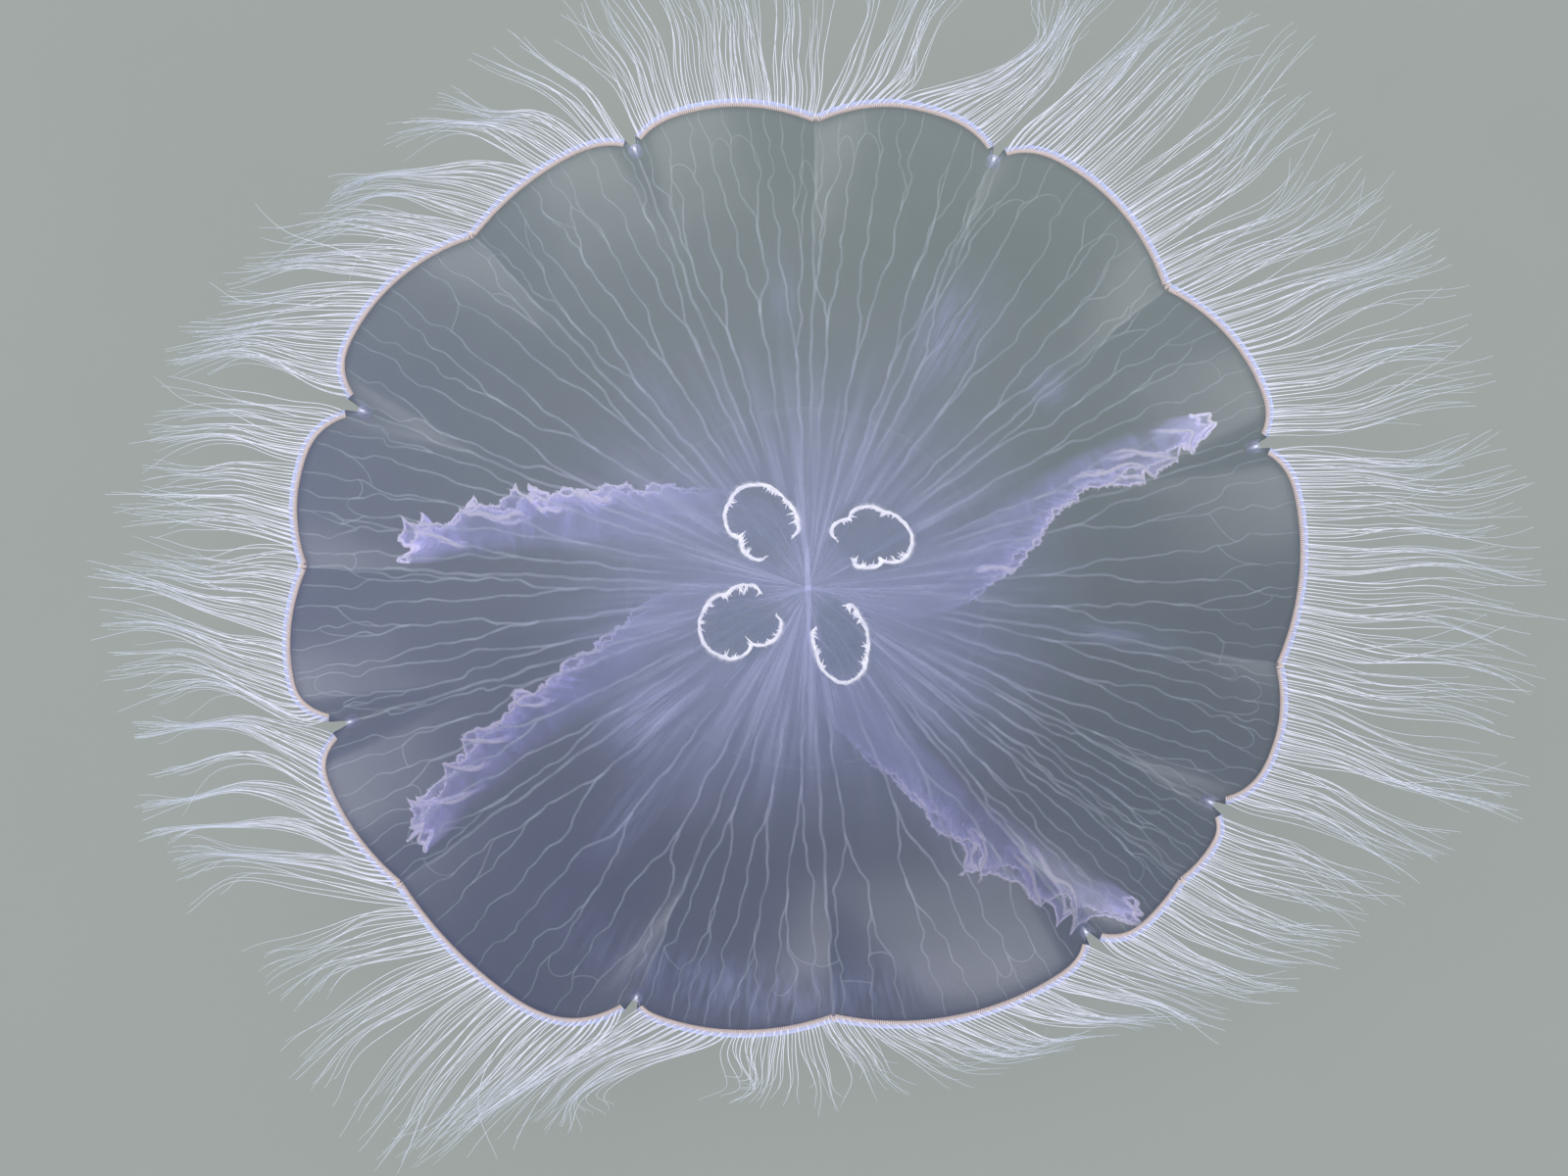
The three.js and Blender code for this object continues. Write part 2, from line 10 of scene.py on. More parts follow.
import bpy
import numpy as np
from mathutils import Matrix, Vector


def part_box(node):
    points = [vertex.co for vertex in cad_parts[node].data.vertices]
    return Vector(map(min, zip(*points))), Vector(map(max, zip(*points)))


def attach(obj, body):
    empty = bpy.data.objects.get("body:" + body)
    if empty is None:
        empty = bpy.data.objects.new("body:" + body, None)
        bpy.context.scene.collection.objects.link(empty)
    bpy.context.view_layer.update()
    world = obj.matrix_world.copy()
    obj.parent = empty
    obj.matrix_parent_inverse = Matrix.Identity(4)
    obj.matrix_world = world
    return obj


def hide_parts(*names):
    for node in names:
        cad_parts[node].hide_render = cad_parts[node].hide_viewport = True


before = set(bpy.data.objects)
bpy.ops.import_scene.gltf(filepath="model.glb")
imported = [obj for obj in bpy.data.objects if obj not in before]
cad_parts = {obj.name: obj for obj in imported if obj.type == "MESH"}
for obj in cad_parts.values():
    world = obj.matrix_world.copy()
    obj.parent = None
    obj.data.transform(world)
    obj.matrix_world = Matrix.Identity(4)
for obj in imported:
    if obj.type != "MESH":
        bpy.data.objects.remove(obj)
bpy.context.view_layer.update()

bl_info = {
    "name": "Moon Jellyfish Model",
    "version": (1, 0, 0),
    "blender": (4, 5, 0),
    "location": "3D View > Sidebar > Jellyfish",
    "description": "Makes a moon jellyfish display model: bell, canals, tentacles, arms and stand",
    "category": "Add Mesh",
}

MM = 0.001
BODY = "root"
BAKE_MAP = "OFBake"
UP = np.array([0.0, 0.0, 1.0])

# ---- The bell ----
DOME_RISE = 50.0  # crown above the edge
EDGE_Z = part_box("bell_crown")[1].z / MM - DOME_RISE
DOME_FULLNESS = 0.88
EDGE_THICK = 1.6
JELLY_THICK = 17.0
JELLY_TAPER = 1.4
LOBES = 8
BAND = 2.4  # width of the band that bears the tentacles
# Dips and swells of the edge in turn: bearing and reach. Every fourth, from the first, is the
# dip at a sense organ.
EDGE = np.array([
    (17.5, 136.6), (25, 143.4), (40, 135.2), (57, 143.5),
    (66.5, 136.0), (77, 142.2), (89, 135.2), (103, 142.0),
    (111.5, 137.2), (121, 142.7), (133.5, 140.3), (150, 150.4),
    (158.3, 139.4), (168, 150.4), (177.5, 145.3), (189, 151.2),
    (196.3, 138.6), (203, 149.6), (216, 145.3), (232, 146.7),
    (247.3, 130.0), (252, 132.4), (273.5, 124.9), (302, 134.0),
    (309, 128.8), (317, 137.5), (322, 136.9), (327, 138.6),
    (332, 132.7), (342, 142.4), (350.7, 137.8), (369, 143.8),
])
DIP_SHARPNESS = {"organ": 3.2, "middle": 1.9}
# The round outline under the crown: its mean reach, how far it is pushed and stretched and on
# which bearings, and the share of the reach from which it turns into the scalloped one.
ROUND = {
    "mean": 140.3, "push": 5.8, "push_to": 140, "stretch": 6.4, "stretch_to": 9, "until": 0.55,
}
# The side that curls under: its bearing and half angle, its drop, and the drop's power.
CURLED = {"bearing": 262, "half": 62, "drop": 9, "late": 4}
# The notch that a sense organ sits in: its depth, half width and power, and how far along the
# edge from its middle the tentacles begin.
NICHE = {"deep": 3.4, "half": 1.5, "round": 1.7, "clear": 1.75}
ORGAN_INSET = 2.6  # from the edge to a sense organ's seat
ORGAN_BEARINGS, DIP_BEARINGS = EDGE[::4, 0], EDGE[2::4, 0]

# ---- The tentacles' stream ----
# Bearing of a place on the edge, bearing of a tentacle at its root and at its tip, its length,
# how far its tip hangs below the edge, and how much tentacles gather into locks there.
STREAM = np.array([
    (9, 358, 5, 70, 14, 0.3), (25, 8, 18, 64, 16, 0.25), (40, 26, 36, 68, 18, 0.35),
    (57, 42, 48, 72, 18, 0.45), (70, 36, 54, 62, 14, 0.6), (80, 20, 74, 46, 10, 0.8),
    (91, 84, 94, 46, 14, 0.35), (110, 116, 124, 50, 16, 0.5), (121, 150, 204, 58, 12, 0.8),
    (134, 166, 188, 50, 14, 0.6), (150, 178, 186, 56, 18, 0.45), (168, 172, 180, 52, 20, 0.5),
    (189, 160, 176, 60, 16, 0.5), (203, 150, 200, 60, 14, 0.8), (213, 146, 196, 64, 16, 0.9),
    (222, 192, 208, 60, 18, 0.5), (234, 222, 236, 62, 20, 0.3), (247, 214, 226, 64, 26, 0.45),
    (256, 205, 232, 56, 24, 0.7), (263, 250, 228, 28, 20, 0.5),
    (282, 334, 364, 42, 22, 0.6), (304, 338, 352, 50, 22, 0.6), (317, 330, 346, 52, 18, 0.45),
    (330, 338, 334, 56, 16, 0.3), (345, 346, 342, 72, 14, 0.25),
])

# ---- Gonads ----
# Centre, half length and half width, bearing of the length, bearing and half angle of the
# opening, bearing and depth of each dent, and the bearings of the tufts of longer filaments.
Gonad = namedtuple("Gonad", "x y long wide turn open half dents tufts")
GONADS = (
    Gonad(17.4, 13.9, 11.6, 8.7, -14, 206, 18, ((139, 0.24), (66, 0.09), (297, 0.25)),
          (63, 49, 254, 236, 270, 317, 331)),
    Gonad(-13.0, 18.0, 11.2, 9.9, 128, 307, 25, ((216, 0.27), (44, 0.08), (152, 0.04)),
          (79, 68, 41, 16, 2, 146, 228, 244)),
    Gonad(-18.7, -9.4, 11.8, 10.3, 20, 33, 19, ((297, 0.34), (117, 0.16), (165, 0.04)),
          (92, 80, 55, 327, 343, 247, 258, 184, 150)),
    Gonad(8.9, -14.5, 11.8, 7.8, 100, 118, 31, ((201, 0.07), (48, 0.06), (335, 0.04)),
          (74, 61, 45, 347, 317, 145, 166, 209, 236)),
)
DENT_HALF = 19  # degrees over which a dent fades
GONAD_LIFT = 1.9  # above the bell's lower surface

# ---- Oral arms ----
# Bearing an arm sets out on, the one it is swept to and by how far along, that of its tip, its
# length; its waist: how much narrower it is there, where along and over what share; how many
# folds its frill has; and its points: share along, how far each stands out in millimetres, and
# where its ridge starts as shares along and across.
Arm = namedtuple("Arm", "start swept swept_by end length waist folds points")
ARMS = {
    "north": Arm(115, 177, 22, 193, 119, (0.0, 0.5, 0.2), 15, (
        (0.55, 1.5, 0.44, 0.80), (0.69, 3.5, 0.56, 0.72), (0.835, 4.6, 0.62, 0.62),
        (0.97, 7.0, 0.80, 0.30),
    )),
    "west": Arm(182, 217, 48, 230, 130, (0.24, 0.42, 0.2), 16, (
        (0.62, 0.8, 0.54, 0.70), (0.765, 3.0, 0.66, 0.62), (0.83, 4.2, 0.74, 0.50),
        (0.95, 6.2, 0.78, 0.25),
    )),
    "south": Arm(275, 312, 28, 336, 132, (0.2, 0.42, 0.18), 38, (
        (0.655, 8.5, 0.55, 0.72), (0.80, 3.0, 0.64, 0.50), (0.885, 10.0, 0.66, 0.30),
    )),
    "east": Arm(350, 397, 42, 384, 121, (0.38, 0.63, 0.13), 27, (
        (0.40, 0.8, 0.30, 0.70), (0.82, 5.2, 0.56, 0.60), (0.90, 2.8, 0.68, 0.38),
        (0.965, 4.4, 0.84, 0.20),
    )),
}
# What the arms share: reach and height of the root, how far the tip hangs below it, a leaf's
# width, how far the midrib lies aside of the arm's line, the slant that a leaf opens at, and the
# share of that slant's height that is left as it sags.
ARM = {
    "from": 9.6, "root_z": 110, "drop": 35, "leaf": 21.8, "midrib": 11.5, "open": 26, "sag": 0.8,
}
STALK = {"r": 7.2, "side": 1.6}  # mean reach of the stalk, and how far its four sides stand out

# ---- The stage ----
FLOOR_HALF = 4.0  # metres
# In metres and watts: how far off each soft light is, its bearing, height, size and power.
LIGHTS = {
    **{f"side_light_{at}": (2.4, at, 0.71, 1.4, 36.0) for at in (20, 110, 200, 290)},
    "top_light": (0.35, 125, 1.75, 1.3, 8.5),
}
SURROUNDINGS = {"Color": (0.86, 0.9, 0.94, 1), "Strength": 0.47}
LENS, SENSOR = 85.0, 36.0  # millimetres
CLIP = (0.02, 20.0)


# ---- Small maths ----
def smooth(t):
    """Eases from 0 to 1: 3t² - 2t³ of t held between 0 and 1."""
    t = np.clip(t, 0, 1)
    return t * t * (3 - 2 * t)


def mix(a, b, t):
    """From a to b as t goes from 0 to 1: a + (b - a)t."""
    return a + (b - a) * t


def turn_to(a, b):
    """The shortest turn from bearing a to bearing b."""
    return (b - a + 540) % 360 - 180


def polar(r, bearing, z):
    """Points at a reach and bearing round the upright axis, at height z."""
    turn = np.radians(bearing)
    return np.stack(np.broadcast_arrays(r * np.cos(turn), r * np.sin(turn), z), -1)


def unit(v):
    """Vectors drawn to a length of 1."""
    return v / np.maximum(np.linalg.norm(v, axis=-1, keepdims=True), 1e-9)


def between(table, bearing, first_column):
    """The two rows of a round table either side of each bearing, and the share of the way
    from one to the other."""
    wrapped = table[0, 0] + (bearing - table[0, 0]) % 360
    k = np.searchsorted(table[:, 0], wrapped, side="right") - 1
    a, b = table[k], table[(k + 1) % len(table)]
    t = (wrapped - a[..., 0]) / ((b[..., 0] - a[..., 0]) % 360)
    return k, a[..., first_column:], b[..., first_column:], t


# ---- The bell's form ----
def edge_reach(bearing):
    """Reach of the scalloped edge. From a dip of reach d to a swell of reach s it is
    d + (s - d)(1 - (1 - t) to the power of the dip's sharpness), t the share of the way."""
    k, a, b, t = between(EDGE, np.asarray(bearing, float), 1)
    rising = k % 2 == 0
    dip = np.where(rising, k, (k + 1) % len(EDGE))
    sharpness = np.where(dip % 4 == 0, DIP_SHARPNESS["organ"], DIP_SHARPNESS["middle"])
    from_dip = np.where(rising, t, 1 - t)
    low = np.where(rising, a[..., 0], b[..., 0])
    high = np.where(rising, b[..., 0], a[..., 0])
    return mix(low, high, 1 - (1 - from_dip) ** sharpness)


def organ_gap(bearing):
    """Distance along the edge to the nearest sense organ."""
    turns = np.abs(turn_to(ORGAN_BEARINGS, np.asarray(bearing, float)[..., None])).min(-1)
    return np.radians(turns) * edge_reach(bearing)


def niche(bearing):
    """How far the skin's edge is notched at a sense organ: deep(1 - (gap/half)^round)."""
    gap = np.clip(organ_gap(bearing) / NICHE["half"], 0, 1)
    return NICHE["deep"] * (1 - gap ** NICHE["round"])


def curl(bearing):
    """Drop of the edge on the side where it curls under."""
    turns = np.abs(turn_to(CURLED["bearing"], bearing))
    return CURLED["drop"] * smooth(1 - turns / CURLED["half"])


def share(r, bearing):
    """How far out a point is, from 0 at the crown to 1 at the edge: its reach over a round
    outline's in the middle, and over the scalloped edge's further out."""
    edge = edge_reach(bearing)
    round_reach = (
        ROUND["mean"]
        + ROUND["push"] * np.cos(np.radians(bearing - ROUND["push_to"]))
        + ROUND["stretch"] * np.cos(np.radians(2 * (bearing - ROUND["stretch_to"])))
    )
    scalloped = smooth((r / edge - ROUND["until"]) / (1 - ROUND["until"]))
    return r / mix(round_reach, edge, scalloped)


def upper_z(r, bearing):
    """Height of the upper surface: edge + rise(1 - s²)^fullness, less the curl times s⁴."""
    s = np.minimum(1, share(r, bearing))
    dome = DOME_RISE * (1 - s * s) ** DOME_FULLNESS
    return EDGE_Z + dome - curl(bearing) * s ** CURLED["late"]


def thickness(r, bearing):
    """Thickness of the bell: edge thickness + jelly(1 - s²)^taper."""
    s = np.minimum(1, share(r, bearing))
    return EDGE_THICK + JELLY_THICK * (1 - s * s) ** JELLY_TAPER


def lower_z(r, bearing):
    """Height of the lower surface: the upper one's, less the thickness."""
    return upper_z(r, bearing) - thickness(r, bearing)


# ---- Surfaces ----
class Surface:
    """Points with faces over them. faces is a list of arrays of corners; places gives each of
    those corners its place on the bake map; marks are numbers for each point."""

    def __init__(self, points, faces, places, marks=None):
        self.points = points.reshape(-1, 3)
        self.faces = faces
        self.places = places
        self.marks = {name: np.ravel(values) for name, values in (marks or {}).items()}

    def placed(self, low, high):
        """The same surface with its bake map fitted between two corners."""
        low, high = np.array(low), np.array(high)
        return Surface(
            self.points, self.faces, [low + p * (high - low) for p in self.places], self.marks
        )


def joined(surfaces):
    """One surface from several, each turned to face outwards."""
    surfaces = [outward(s) for s in surfaces]
    starts = np.cumsum([0] + [len(s.points) for s in surfaces[:-1]])
    names = {name for s in surfaces for name in s.marks}
    marks = {
        name: np.concatenate([s.marks.get(name, np.zeros(len(s.points))) for s in surfaces])
        for name in sorted(names)
    }
    return Surface(
        np.concatenate([s.points for s in surfaces]),
        [face + start for s, start in zip(surfaces, starts) for face in s.faces],
        [place for s in surfaces for place in s.places],
        marks,
    )


def grid_faces(rows, columns, wrap):
    """Four-cornered faces of a grid whose row r and column c is point r·columns + c. Where
    wrap is true the last column joins the first."""
    spans = columns if wrap else columns - 1
    r, c = np.meshgrid(np.arange(rows - 1), np.arange(spans), indexing="ij")
    r, c = r.ravel(), c.ravel()
    row = np.stack([r, r + 1, r + 1, r], 1)
    column = np.stack([c, c, c + 1, c + 1], 1)
    return row * columns + column % columns, np.stack([column / spans, row / (rows - 1)], -1)


def closed_rows(points, first_pole, last_pole, marks=None, pole_marks=None):
    """A closed surface from round rows of points, drawn together to a pole at each end."""
    rows, columns = points.shape[:2]
    walls, wall_places = grid_faces(rows, columns, wrap=True)
    margin = 1 / (rows + 1)
    faces, places = [walls], [wall_places * [1, 1 - 2 * margin] + [0, margin]]
    c = np.arange(columns)
    # a fan of triangles from each pole, wound the other way at the last one
    for row, order, pole_at, row_at in (
        (0, [0, 1, 2], 0, margin), (rows - 1, [0, 2, 1], 1, 1 - margin),
    ):
        pole = np.full(columns, rows * columns + pole_at)
        start = row * columns
        fan = np.stack([pole, start + c, start + (c + 1) % columns], 1)
        across = np.stack([c + 0.5, c, c + 1], 1) / columns
        up = np.broadcast_to([pole_at, row_at, row_at], across.shape)
        faces.append(fan[:, order])
        places.append(np.stack([across, up], -1)[:, order])
    every = np.concatenate([points.reshape(-1, 3), [first_pole, last_pole]])
    joined_marks = {
        name: np.concatenate([np.ravel(values), (pole_marks or {}).get(name, (0, 0))])
        for name, values in (marks or {}).items()
    }
    return Surface(every, faces, places, joined_marks)


def tubes(paths, radii, sides, flat=1.0, corners=None, patch=None, marks=None):
    """Closed tubes along many paths at once. paths is tubes × steps × 3, radii tubes × steps.
    A ring stands across each step: radius·(cos a·side + flat·sin a·over), with side level and
    over square to side and path. corners and patch place each tube's patch on the bake map, and
    marks are tubes × steps, or tubes × steps × sides."""
    count, steps = paths.shape[:2]
    along = unit(np.gradient(paths, axis=1))
    side = unit(np.cross(along, UP))
    over = np.cross(side, along)
    turn = 2 * np.pi * np.arange(sides) / sides
    sideways = np.cos(turn)[:, None] * side[:, :, None]
    upwards = flat * np.sin(turn)[:, None] * over[:, :, None]
    points = paths[:, :, None] + radii[:, :, None, None] * (sideways + upwards)
    walls, places = grid_faces(steps, sides, wrap=True)
    ring = np.arange(sides)
    caps = np.stack([ring, (steps - 1) * sides + ring[::-1]])
    cap_places = np.stack([
        np.stack([ring / sides, np.zeros(sides)], -1),
        np.stack([ring[::-1] / sides, np.ones(sides)], -1),
    ])
    starts = (np.arange(count) * steps * sides)[:, None, None]
    if corners is None:
        columns = math.ceil(math.sqrt(count))
        cell = 1 / columns
        number = np.arange(count)
        corners = np.stack([number % columns, number // columns], -1) * cell
        patch = 0.9 * cell
    corners = corners[:, None, None]
    faces = [(walls + starts).reshape(-1, 4), (caps + starts).reshape(-1, sides)]
    spread = [
        (corners + places * patch).reshape(-1, 4, 2),
        (corners + cap_places * patch).reshape(-1, sides, 2),
    ]
    widened = {
        name: np.broadcast_to(values.reshape(*values.shape[:2], -1), (count, steps, sides))
        for name, values in (marks or {}).items()
    }
    return Surface(points, faces, spread, widened)


def shell(middle, half, marks=None):
    """A closed thin sheet: the grid of points moved half its thickness to either side along its
    normal, which is the cross product of the steps down and across the grid."""
    rows, columns = middle.shape[:2]
    normal = unit(np.cross(np.gradient(middle, axis=0), np.gradient(middle, axis=1)))
    above, below = middle + normal * half[..., None], middle - normal * half[..., None]
    loop = np.concatenate([above, below[:, ::-1]], axis=1)
    walls, places = grid_faces(rows, 2 * columns, wrap=True)
    j = np.arange(columns - 1)
    strip = np.stack([j, j + 1, 2 * columns - 2 - j, 2 * columns - 1 - j], 1)
    ends = np.concatenate([strip, (rows - 1) * 2 * columns + strip[:, ::-1]])
    end_places = np.stack([ends % (2 * columns) / (2 * columns), ends // (2 * columns) / rows], -1)
    doubled = {
        name: np.concatenate([values, values[:, ::-1]], axis=1)
        for name, values in (marks or {}).items()
    }
    return Surface(loop, [walls, ends], [places, end_places], doubled)


def outward(surface):
    """The faces turned to point out: the sum of each face's volume below it is positive."""
    total = 0.0
    for face in surface.faces:
        corner = surface.points[face]
        for k in range(1, face.shape[1] - 1):
            across = np.cross(corner[:, k], corner[:, k + 1])
            total += float((corner[:, 0] * across).sum())
    if total >= 0:
        return surface
    return Surface(
        surface.points,
        [face[:, ::-1] for face in surface.faces],
        [place[:, ::-1] for place in surface.places],
        surface.marks,
    )


# Kinds of ray that miss clear tissue: those that colour its surroundings, and shadows.
BOUNCED = ("diffuse", "glossy")
SHADOW = ("shadow",)


def make_piece(name, surface, finish, replaced=(), missed_by=()):
    """Makes the mesh object, hangs it from what it rides on and hides the nodes it stands for.
    Tissue too thin and clear to shade or colour its surroundings is missed by those kinds of ray."""
    surface = outward(surface)
    mesh = bpy.data.meshes.new(name)
    corners = np.concatenate([face.ravel() for face in surface.faces]).astype(np.int32)
    counts = np.concatenate([np.full(len(face), face.shape[1]) for face in surface.faces])
    mesh.vertices.add(len(surface.points))
    mesh.vertices.foreach_set("co", (surface.points * MM).astype(np.float32).ravel())
    mesh.loops.add(len(corners))
    mesh.loops.foreach_set("vertex_index", corners)
    mesh.polygons.add(len(counts))
    mesh.polygons.foreach_set("loop_start", (np.cumsum(counts) - counts).astype(np.int32))
    mesh.polygons.foreach_set("use_smooth", np.ones(len(counts), bool))
    mesh.update(calc_edges=True)
    places = np.concatenate([place.reshape(-1, 2) for place in surface.places])
    uv = mesh.uv_layers.new(name=BAKE_MAP)
    uv.uv.foreach_set("vector", places.astype(np.float32).ravel())
    for mark, values in surface.marks.items():
        mesh.attributes.new(mark, "FLOAT", "POINT").data.foreach_set(
            "value", values.astype(np.float32)
        )
    if mesh.validate():
        raise RuntimeError(f"{name} has faces that aren't valid")
    mesh.materials.append(finish)
    piece = bpy.data.objects.new(name, mesh)
    bpy.context.scene.collection.objects.link(piece)
    for kind in missed_by:
        setattr(piece, f"visible_{kind}", False)
    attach(piece, BODY)
    if replaced:
        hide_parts(*replaced)
    return piece


# ---- Finishes ----
def shade(red, green, blue):
    """A colour given from 0 to 255, as the light it stands for."""
    return tuple((c / 255 / 12.92 if c <= 10 else ((c / 255 + 0.055) / 1.055) ** 2.4)
                 for c in (red, green, blue))


class Wire:
    """A node's output, which takes part in arithmetic as a number does."""

    def __init__(self, finish, socket):
        self.finish = finish
        self.socket = socket

    def __add__(self, other):
        return self.finish.maths("ADD", self, other)

    def __sub__(self, other):
        return self.finish.maths("SUBTRACT", self, other)

    def __rsub__(self, other):
        return self.finish.maths("SUBTRACT", other, self)

    def __mul__(self, other):
        return self.finish.maths("MULTIPLY", self, other)

    def __pow__(self, other):
        return self.finish.maths("POWER", self, other)

    __radd__ = __add__
    __rmul__ = __mul__


class Finish:
    """A material while its nodes are being wired."""

    def __init__(self, name):
        self.material = bpy.data.materials.new(name)
        self.material.use_nodes = True
        self.material.cycles.emission_sampling = "NONE"  # none of these finishes lights the others
        self.tree = self.material.node_tree
        self.tree.nodes.clear()

    def add(self, kind, settings=None, values=None, output=0):
        """Adds a node of a type, sets its settings, then its sockets' values or links."""
        node = self.tree.nodes.new(kind)
        for name, value in (settings or {}).items():
            setattr(node, name, value)
        for name, value in (values or {}).items():
            if isinstance(value, Wire):
                self.tree.links.new(value.socket, node.inputs[name])
            else:
                node.inputs[name].default_value = value
        return Wire(self, node.outputs[output]) if node.outputs else None

    def maths(self, operation, a, b=0.0):
        return self.add("ShaderNodeMath", {"operation": operation}, {0: a, 1: b})

    def vector(self, operation, a, b=None, output=0):
        values = {0: a} if b is None else {0: a, 1: b}
        return self.add("ShaderNodeVectorMath", {"operation": operation}, values, output)

    def blend(self, factor, a, b):
        """A colour that goes from a to b as factor goes from 0 to 1."""
        a, b = (c if isinstance(c, Wire) else (*c[:3], 1.0) for c in (a, b))
        return self.add(
            "ShaderNodeMix", {"data_type": "RGBA"}, {0: factor, 6: a, 7: b}, output=2
        )

    def ramp(self, value, low, high):
        """Eases from 0 where value is low to 1 where it is high."""
        return self.add(
            "ShaderNodeMapRange",
            {"interpolation_type": "SMOOTHSTEP"},
            {"Value": value, "From Min": low, "From Max": high},
        )

    def mark(self, name):
        return self.add("ShaderNodeAttribute", {"attribute_name": name}, output="Fac")

    def place(self):
        return self.add("ShaderNodeTexCoord", output="Object")

    def spot(self, x, y, z):
        return self.add("ShaderNodeCombineXYZ", {}, {0: x, 1: y, 2: z})

    def towards(self, place, way, low, high):
        """Eases from 0 to 1 across the model along a way, between two distances in metres."""
        return self.ramp(self.vector("DOT_PRODUCT", place, way, output=1), low, high)

    def noise(self, vector, scale, detail=3.0, roughness=0.5):
        values = {"Vector": vector, "Scale": scale, "Detail": detail, "Roughness": roughness}
        return self.add("ShaderNodeTexNoise", {}, values)

    def bump(self, height, strength, distance):
        values = {"Height": height, "Strength": strength, "Distance": distance}
        return self.add("ShaderNodeBump", {}, values)

    def surface(self, **values):
        """Ends the material in a Principled shader with these sockets, spaces as underscores."""
        named = {name.replace("_", " "): value for name, value in values.items()}
        shader = self.add("ShaderNodeBsdfPrincipled", {}, named)
        self.add("ShaderNodeOutputMaterial", {}, {"Surface": shader})
        return self.material


def jelly_finish(colours):
    """Smoky blue-grey jelly with painted shade, bluer and darker towards -X and -Y and darker
    still towards -Y. It is milky lilac over the stomach in faint rays and in a few clouds further
    out, and clear over the gonads' pouches, whose floor is darker."""
    f = Finish("jelly")
    place, reach = f.place(), f.mark("reach")
    pouch, under, cloudy = f.mark("pouch"), f.mark("under"), f.mark("milk")
    level = f.vector("MULTIPLY", place, (1.0, 1.0, 0.0))
    rays = f.noise(f.vector("ADD", f.vector("NORMALIZE", level), level), 13.0, 5.0, 0.65)
    clouds = f.noise(place, 26.0, 4.0, 0.6)
    wisps = f.noise(f.vector("ADD", place, f.vector("NORMALIZE", level)), 60.0, 4.0, 0.65)
    haze = (1 - f.ramp(reach + clouds * 0.2, 0.2, 0.7)) * 0.8
    fan = f.ramp(rays, 0.42, 0.7) * (1 - f.ramp(reach, 0.1, 0.6))
    patches = cloudy * f.ramp(wisps, 0.3, 0.7)
    # painted shade: the jelly is made bluer and darker towards -X and -Y, and darker again towards
    # -Y
    shaded_low_side = f.towards(place, (-0.66, -0.75, 0.0), -0.1, 0.12)
    shaded_dim_side = f.towards(place, (0.4, -0.92, 0.0), -0.09, 0.1)
    bluer = f.blend(shaded_low_side, colours.jelly, colours.jelly_low_shade)
    body = f.blend(shaded_dim_side * 0.7, bluer, colours.jelly_dim_shade)
    milky = f.blend(haze + patches * 0.7, body, colours.haze)
    streaked = f.blend(fan * 0.6 + patches * 0.45, milky, colours.milk)
    colour = f.blend(pouch * 0.6, streaked, colours.pouch)
    # the painted shade also makes the jelly more opaque towards -X and -Y
    covered = (
        0.29 + shaded_low_side * 0.07 + shaded_dim_side * 0.15 + haze * 0.1 + fan * 0.12 + patches * 0.26
        + (clouds - 0.5) * 0.1
    )
    edge = f.ramp(reach, 0.965, 1.0) * 0.2
    alpha = covered * (1 - pouch * (1 - under) * 0.5) + pouch * under * 0.1 + edge
    return f.surface(
        Base_Color=colour,
        Roughness=0.24 + clouds * 0.16,
        Alpha=alpha,
        IOR=1.36,
        Coat_Weight=0.15,
        Coat_Roughness=0.15,
    )


def canal_finish(colours):
    """Milky threads in the jelly, a little patchy, denser towards -Y and fainter near the edge,
    fading out at their sides and at the stomach."""
    f = Finish("canal")
    place, reach, milk = f.place(), f.mark("reach"), f.mark("milk")
    flow = f.noise(place, 130.0, 4.0, 0.6)
    near_side = f.towards(place, (-0.35, -0.94, 0.0), -0.1, 0.1)
    colour = f.blend(f.ramp(reach + flow * 0.2, 0.35, 1.0), colours.canal, colours.canal_outer)
    alpha = (
        (0.14 + f.ramp(flow, 0.25, 0.75) * 0.22) * (0.56 + near_side * 0.4)
        * (1.0 - f.ramp(reach, 0.55, 0.95) * 0.35) * milk
    )
    return f.surface(Base_Color=colour, Roughness=0.5, Alpha=alpha)


def band_finish(colours):
    """Creamy along the inner side of the band, lilac-white along the outer one."""
    f = Finish("edge band")
    place, across = f.place(), f.mark("across")
    mottle = f.noise(place, 700.0, 3.0, 0.6)
    outer = f.ramp(across + (mottle - 0.5) * 0.5, 0.1, 0.8)
    colour = f.blend(outer, colours.band_inner, colours.band_outer)
    return f.surface(
        Base_Color=colour,
        Roughness=0.45 + mottle * 0.2,
        Normal=f.bump(mottle, 0.3, 0.0002),
        IOR=1.4,
    )


def thread_finish(colours):
    """Milky white at the root, paler and bluer towards the tip, faintly beaded."""
    f = Finish("tentacle")
    place, along = f.place(), f.mark("along")
    beads = f.noise(place, 900.0, 2.0)
    paler = f.ramp(along + (beads - 0.5) * 0.4, 0.0, 1.0)
    colour = f.blend(paler, colours.thread, colours.thread_tip)
    return f.surface(
        Base_Color=colour, Roughness=0.4, Normal=f.bump(beads, 0.3, 0.0001), IOR=1.4
    )


def gonad_finish(colours):
    """Dense milky white with a faint lilac mottle, a wet shine and a painted glow of its own
    white, thin where it hangs.
    """
    f = Finish("gonad")
    place, milk = f.place(), f.mark("milk")
    mottle = f.noise(place, 520.0, 4.0, 0.6)
    colour = f.blend(f.ramp(mottle, 0.35, 0.75), colours.gonad, colours.gonad_shade)
    return f.surface(
        Base_Color=colour,
        Roughness=0.3 + mottle * 0.15,
        Alpha=f.ramp(milk, 0.0, 0.95),
        Normal=f.bump(mottle, 0.4, 0.0004),
        # painted glow: the gonads give off light of their own white, though they are no lamp
        Emission_Color=(*colours.gonad, 1.0),
        Emission_Strength=0.26,
    )


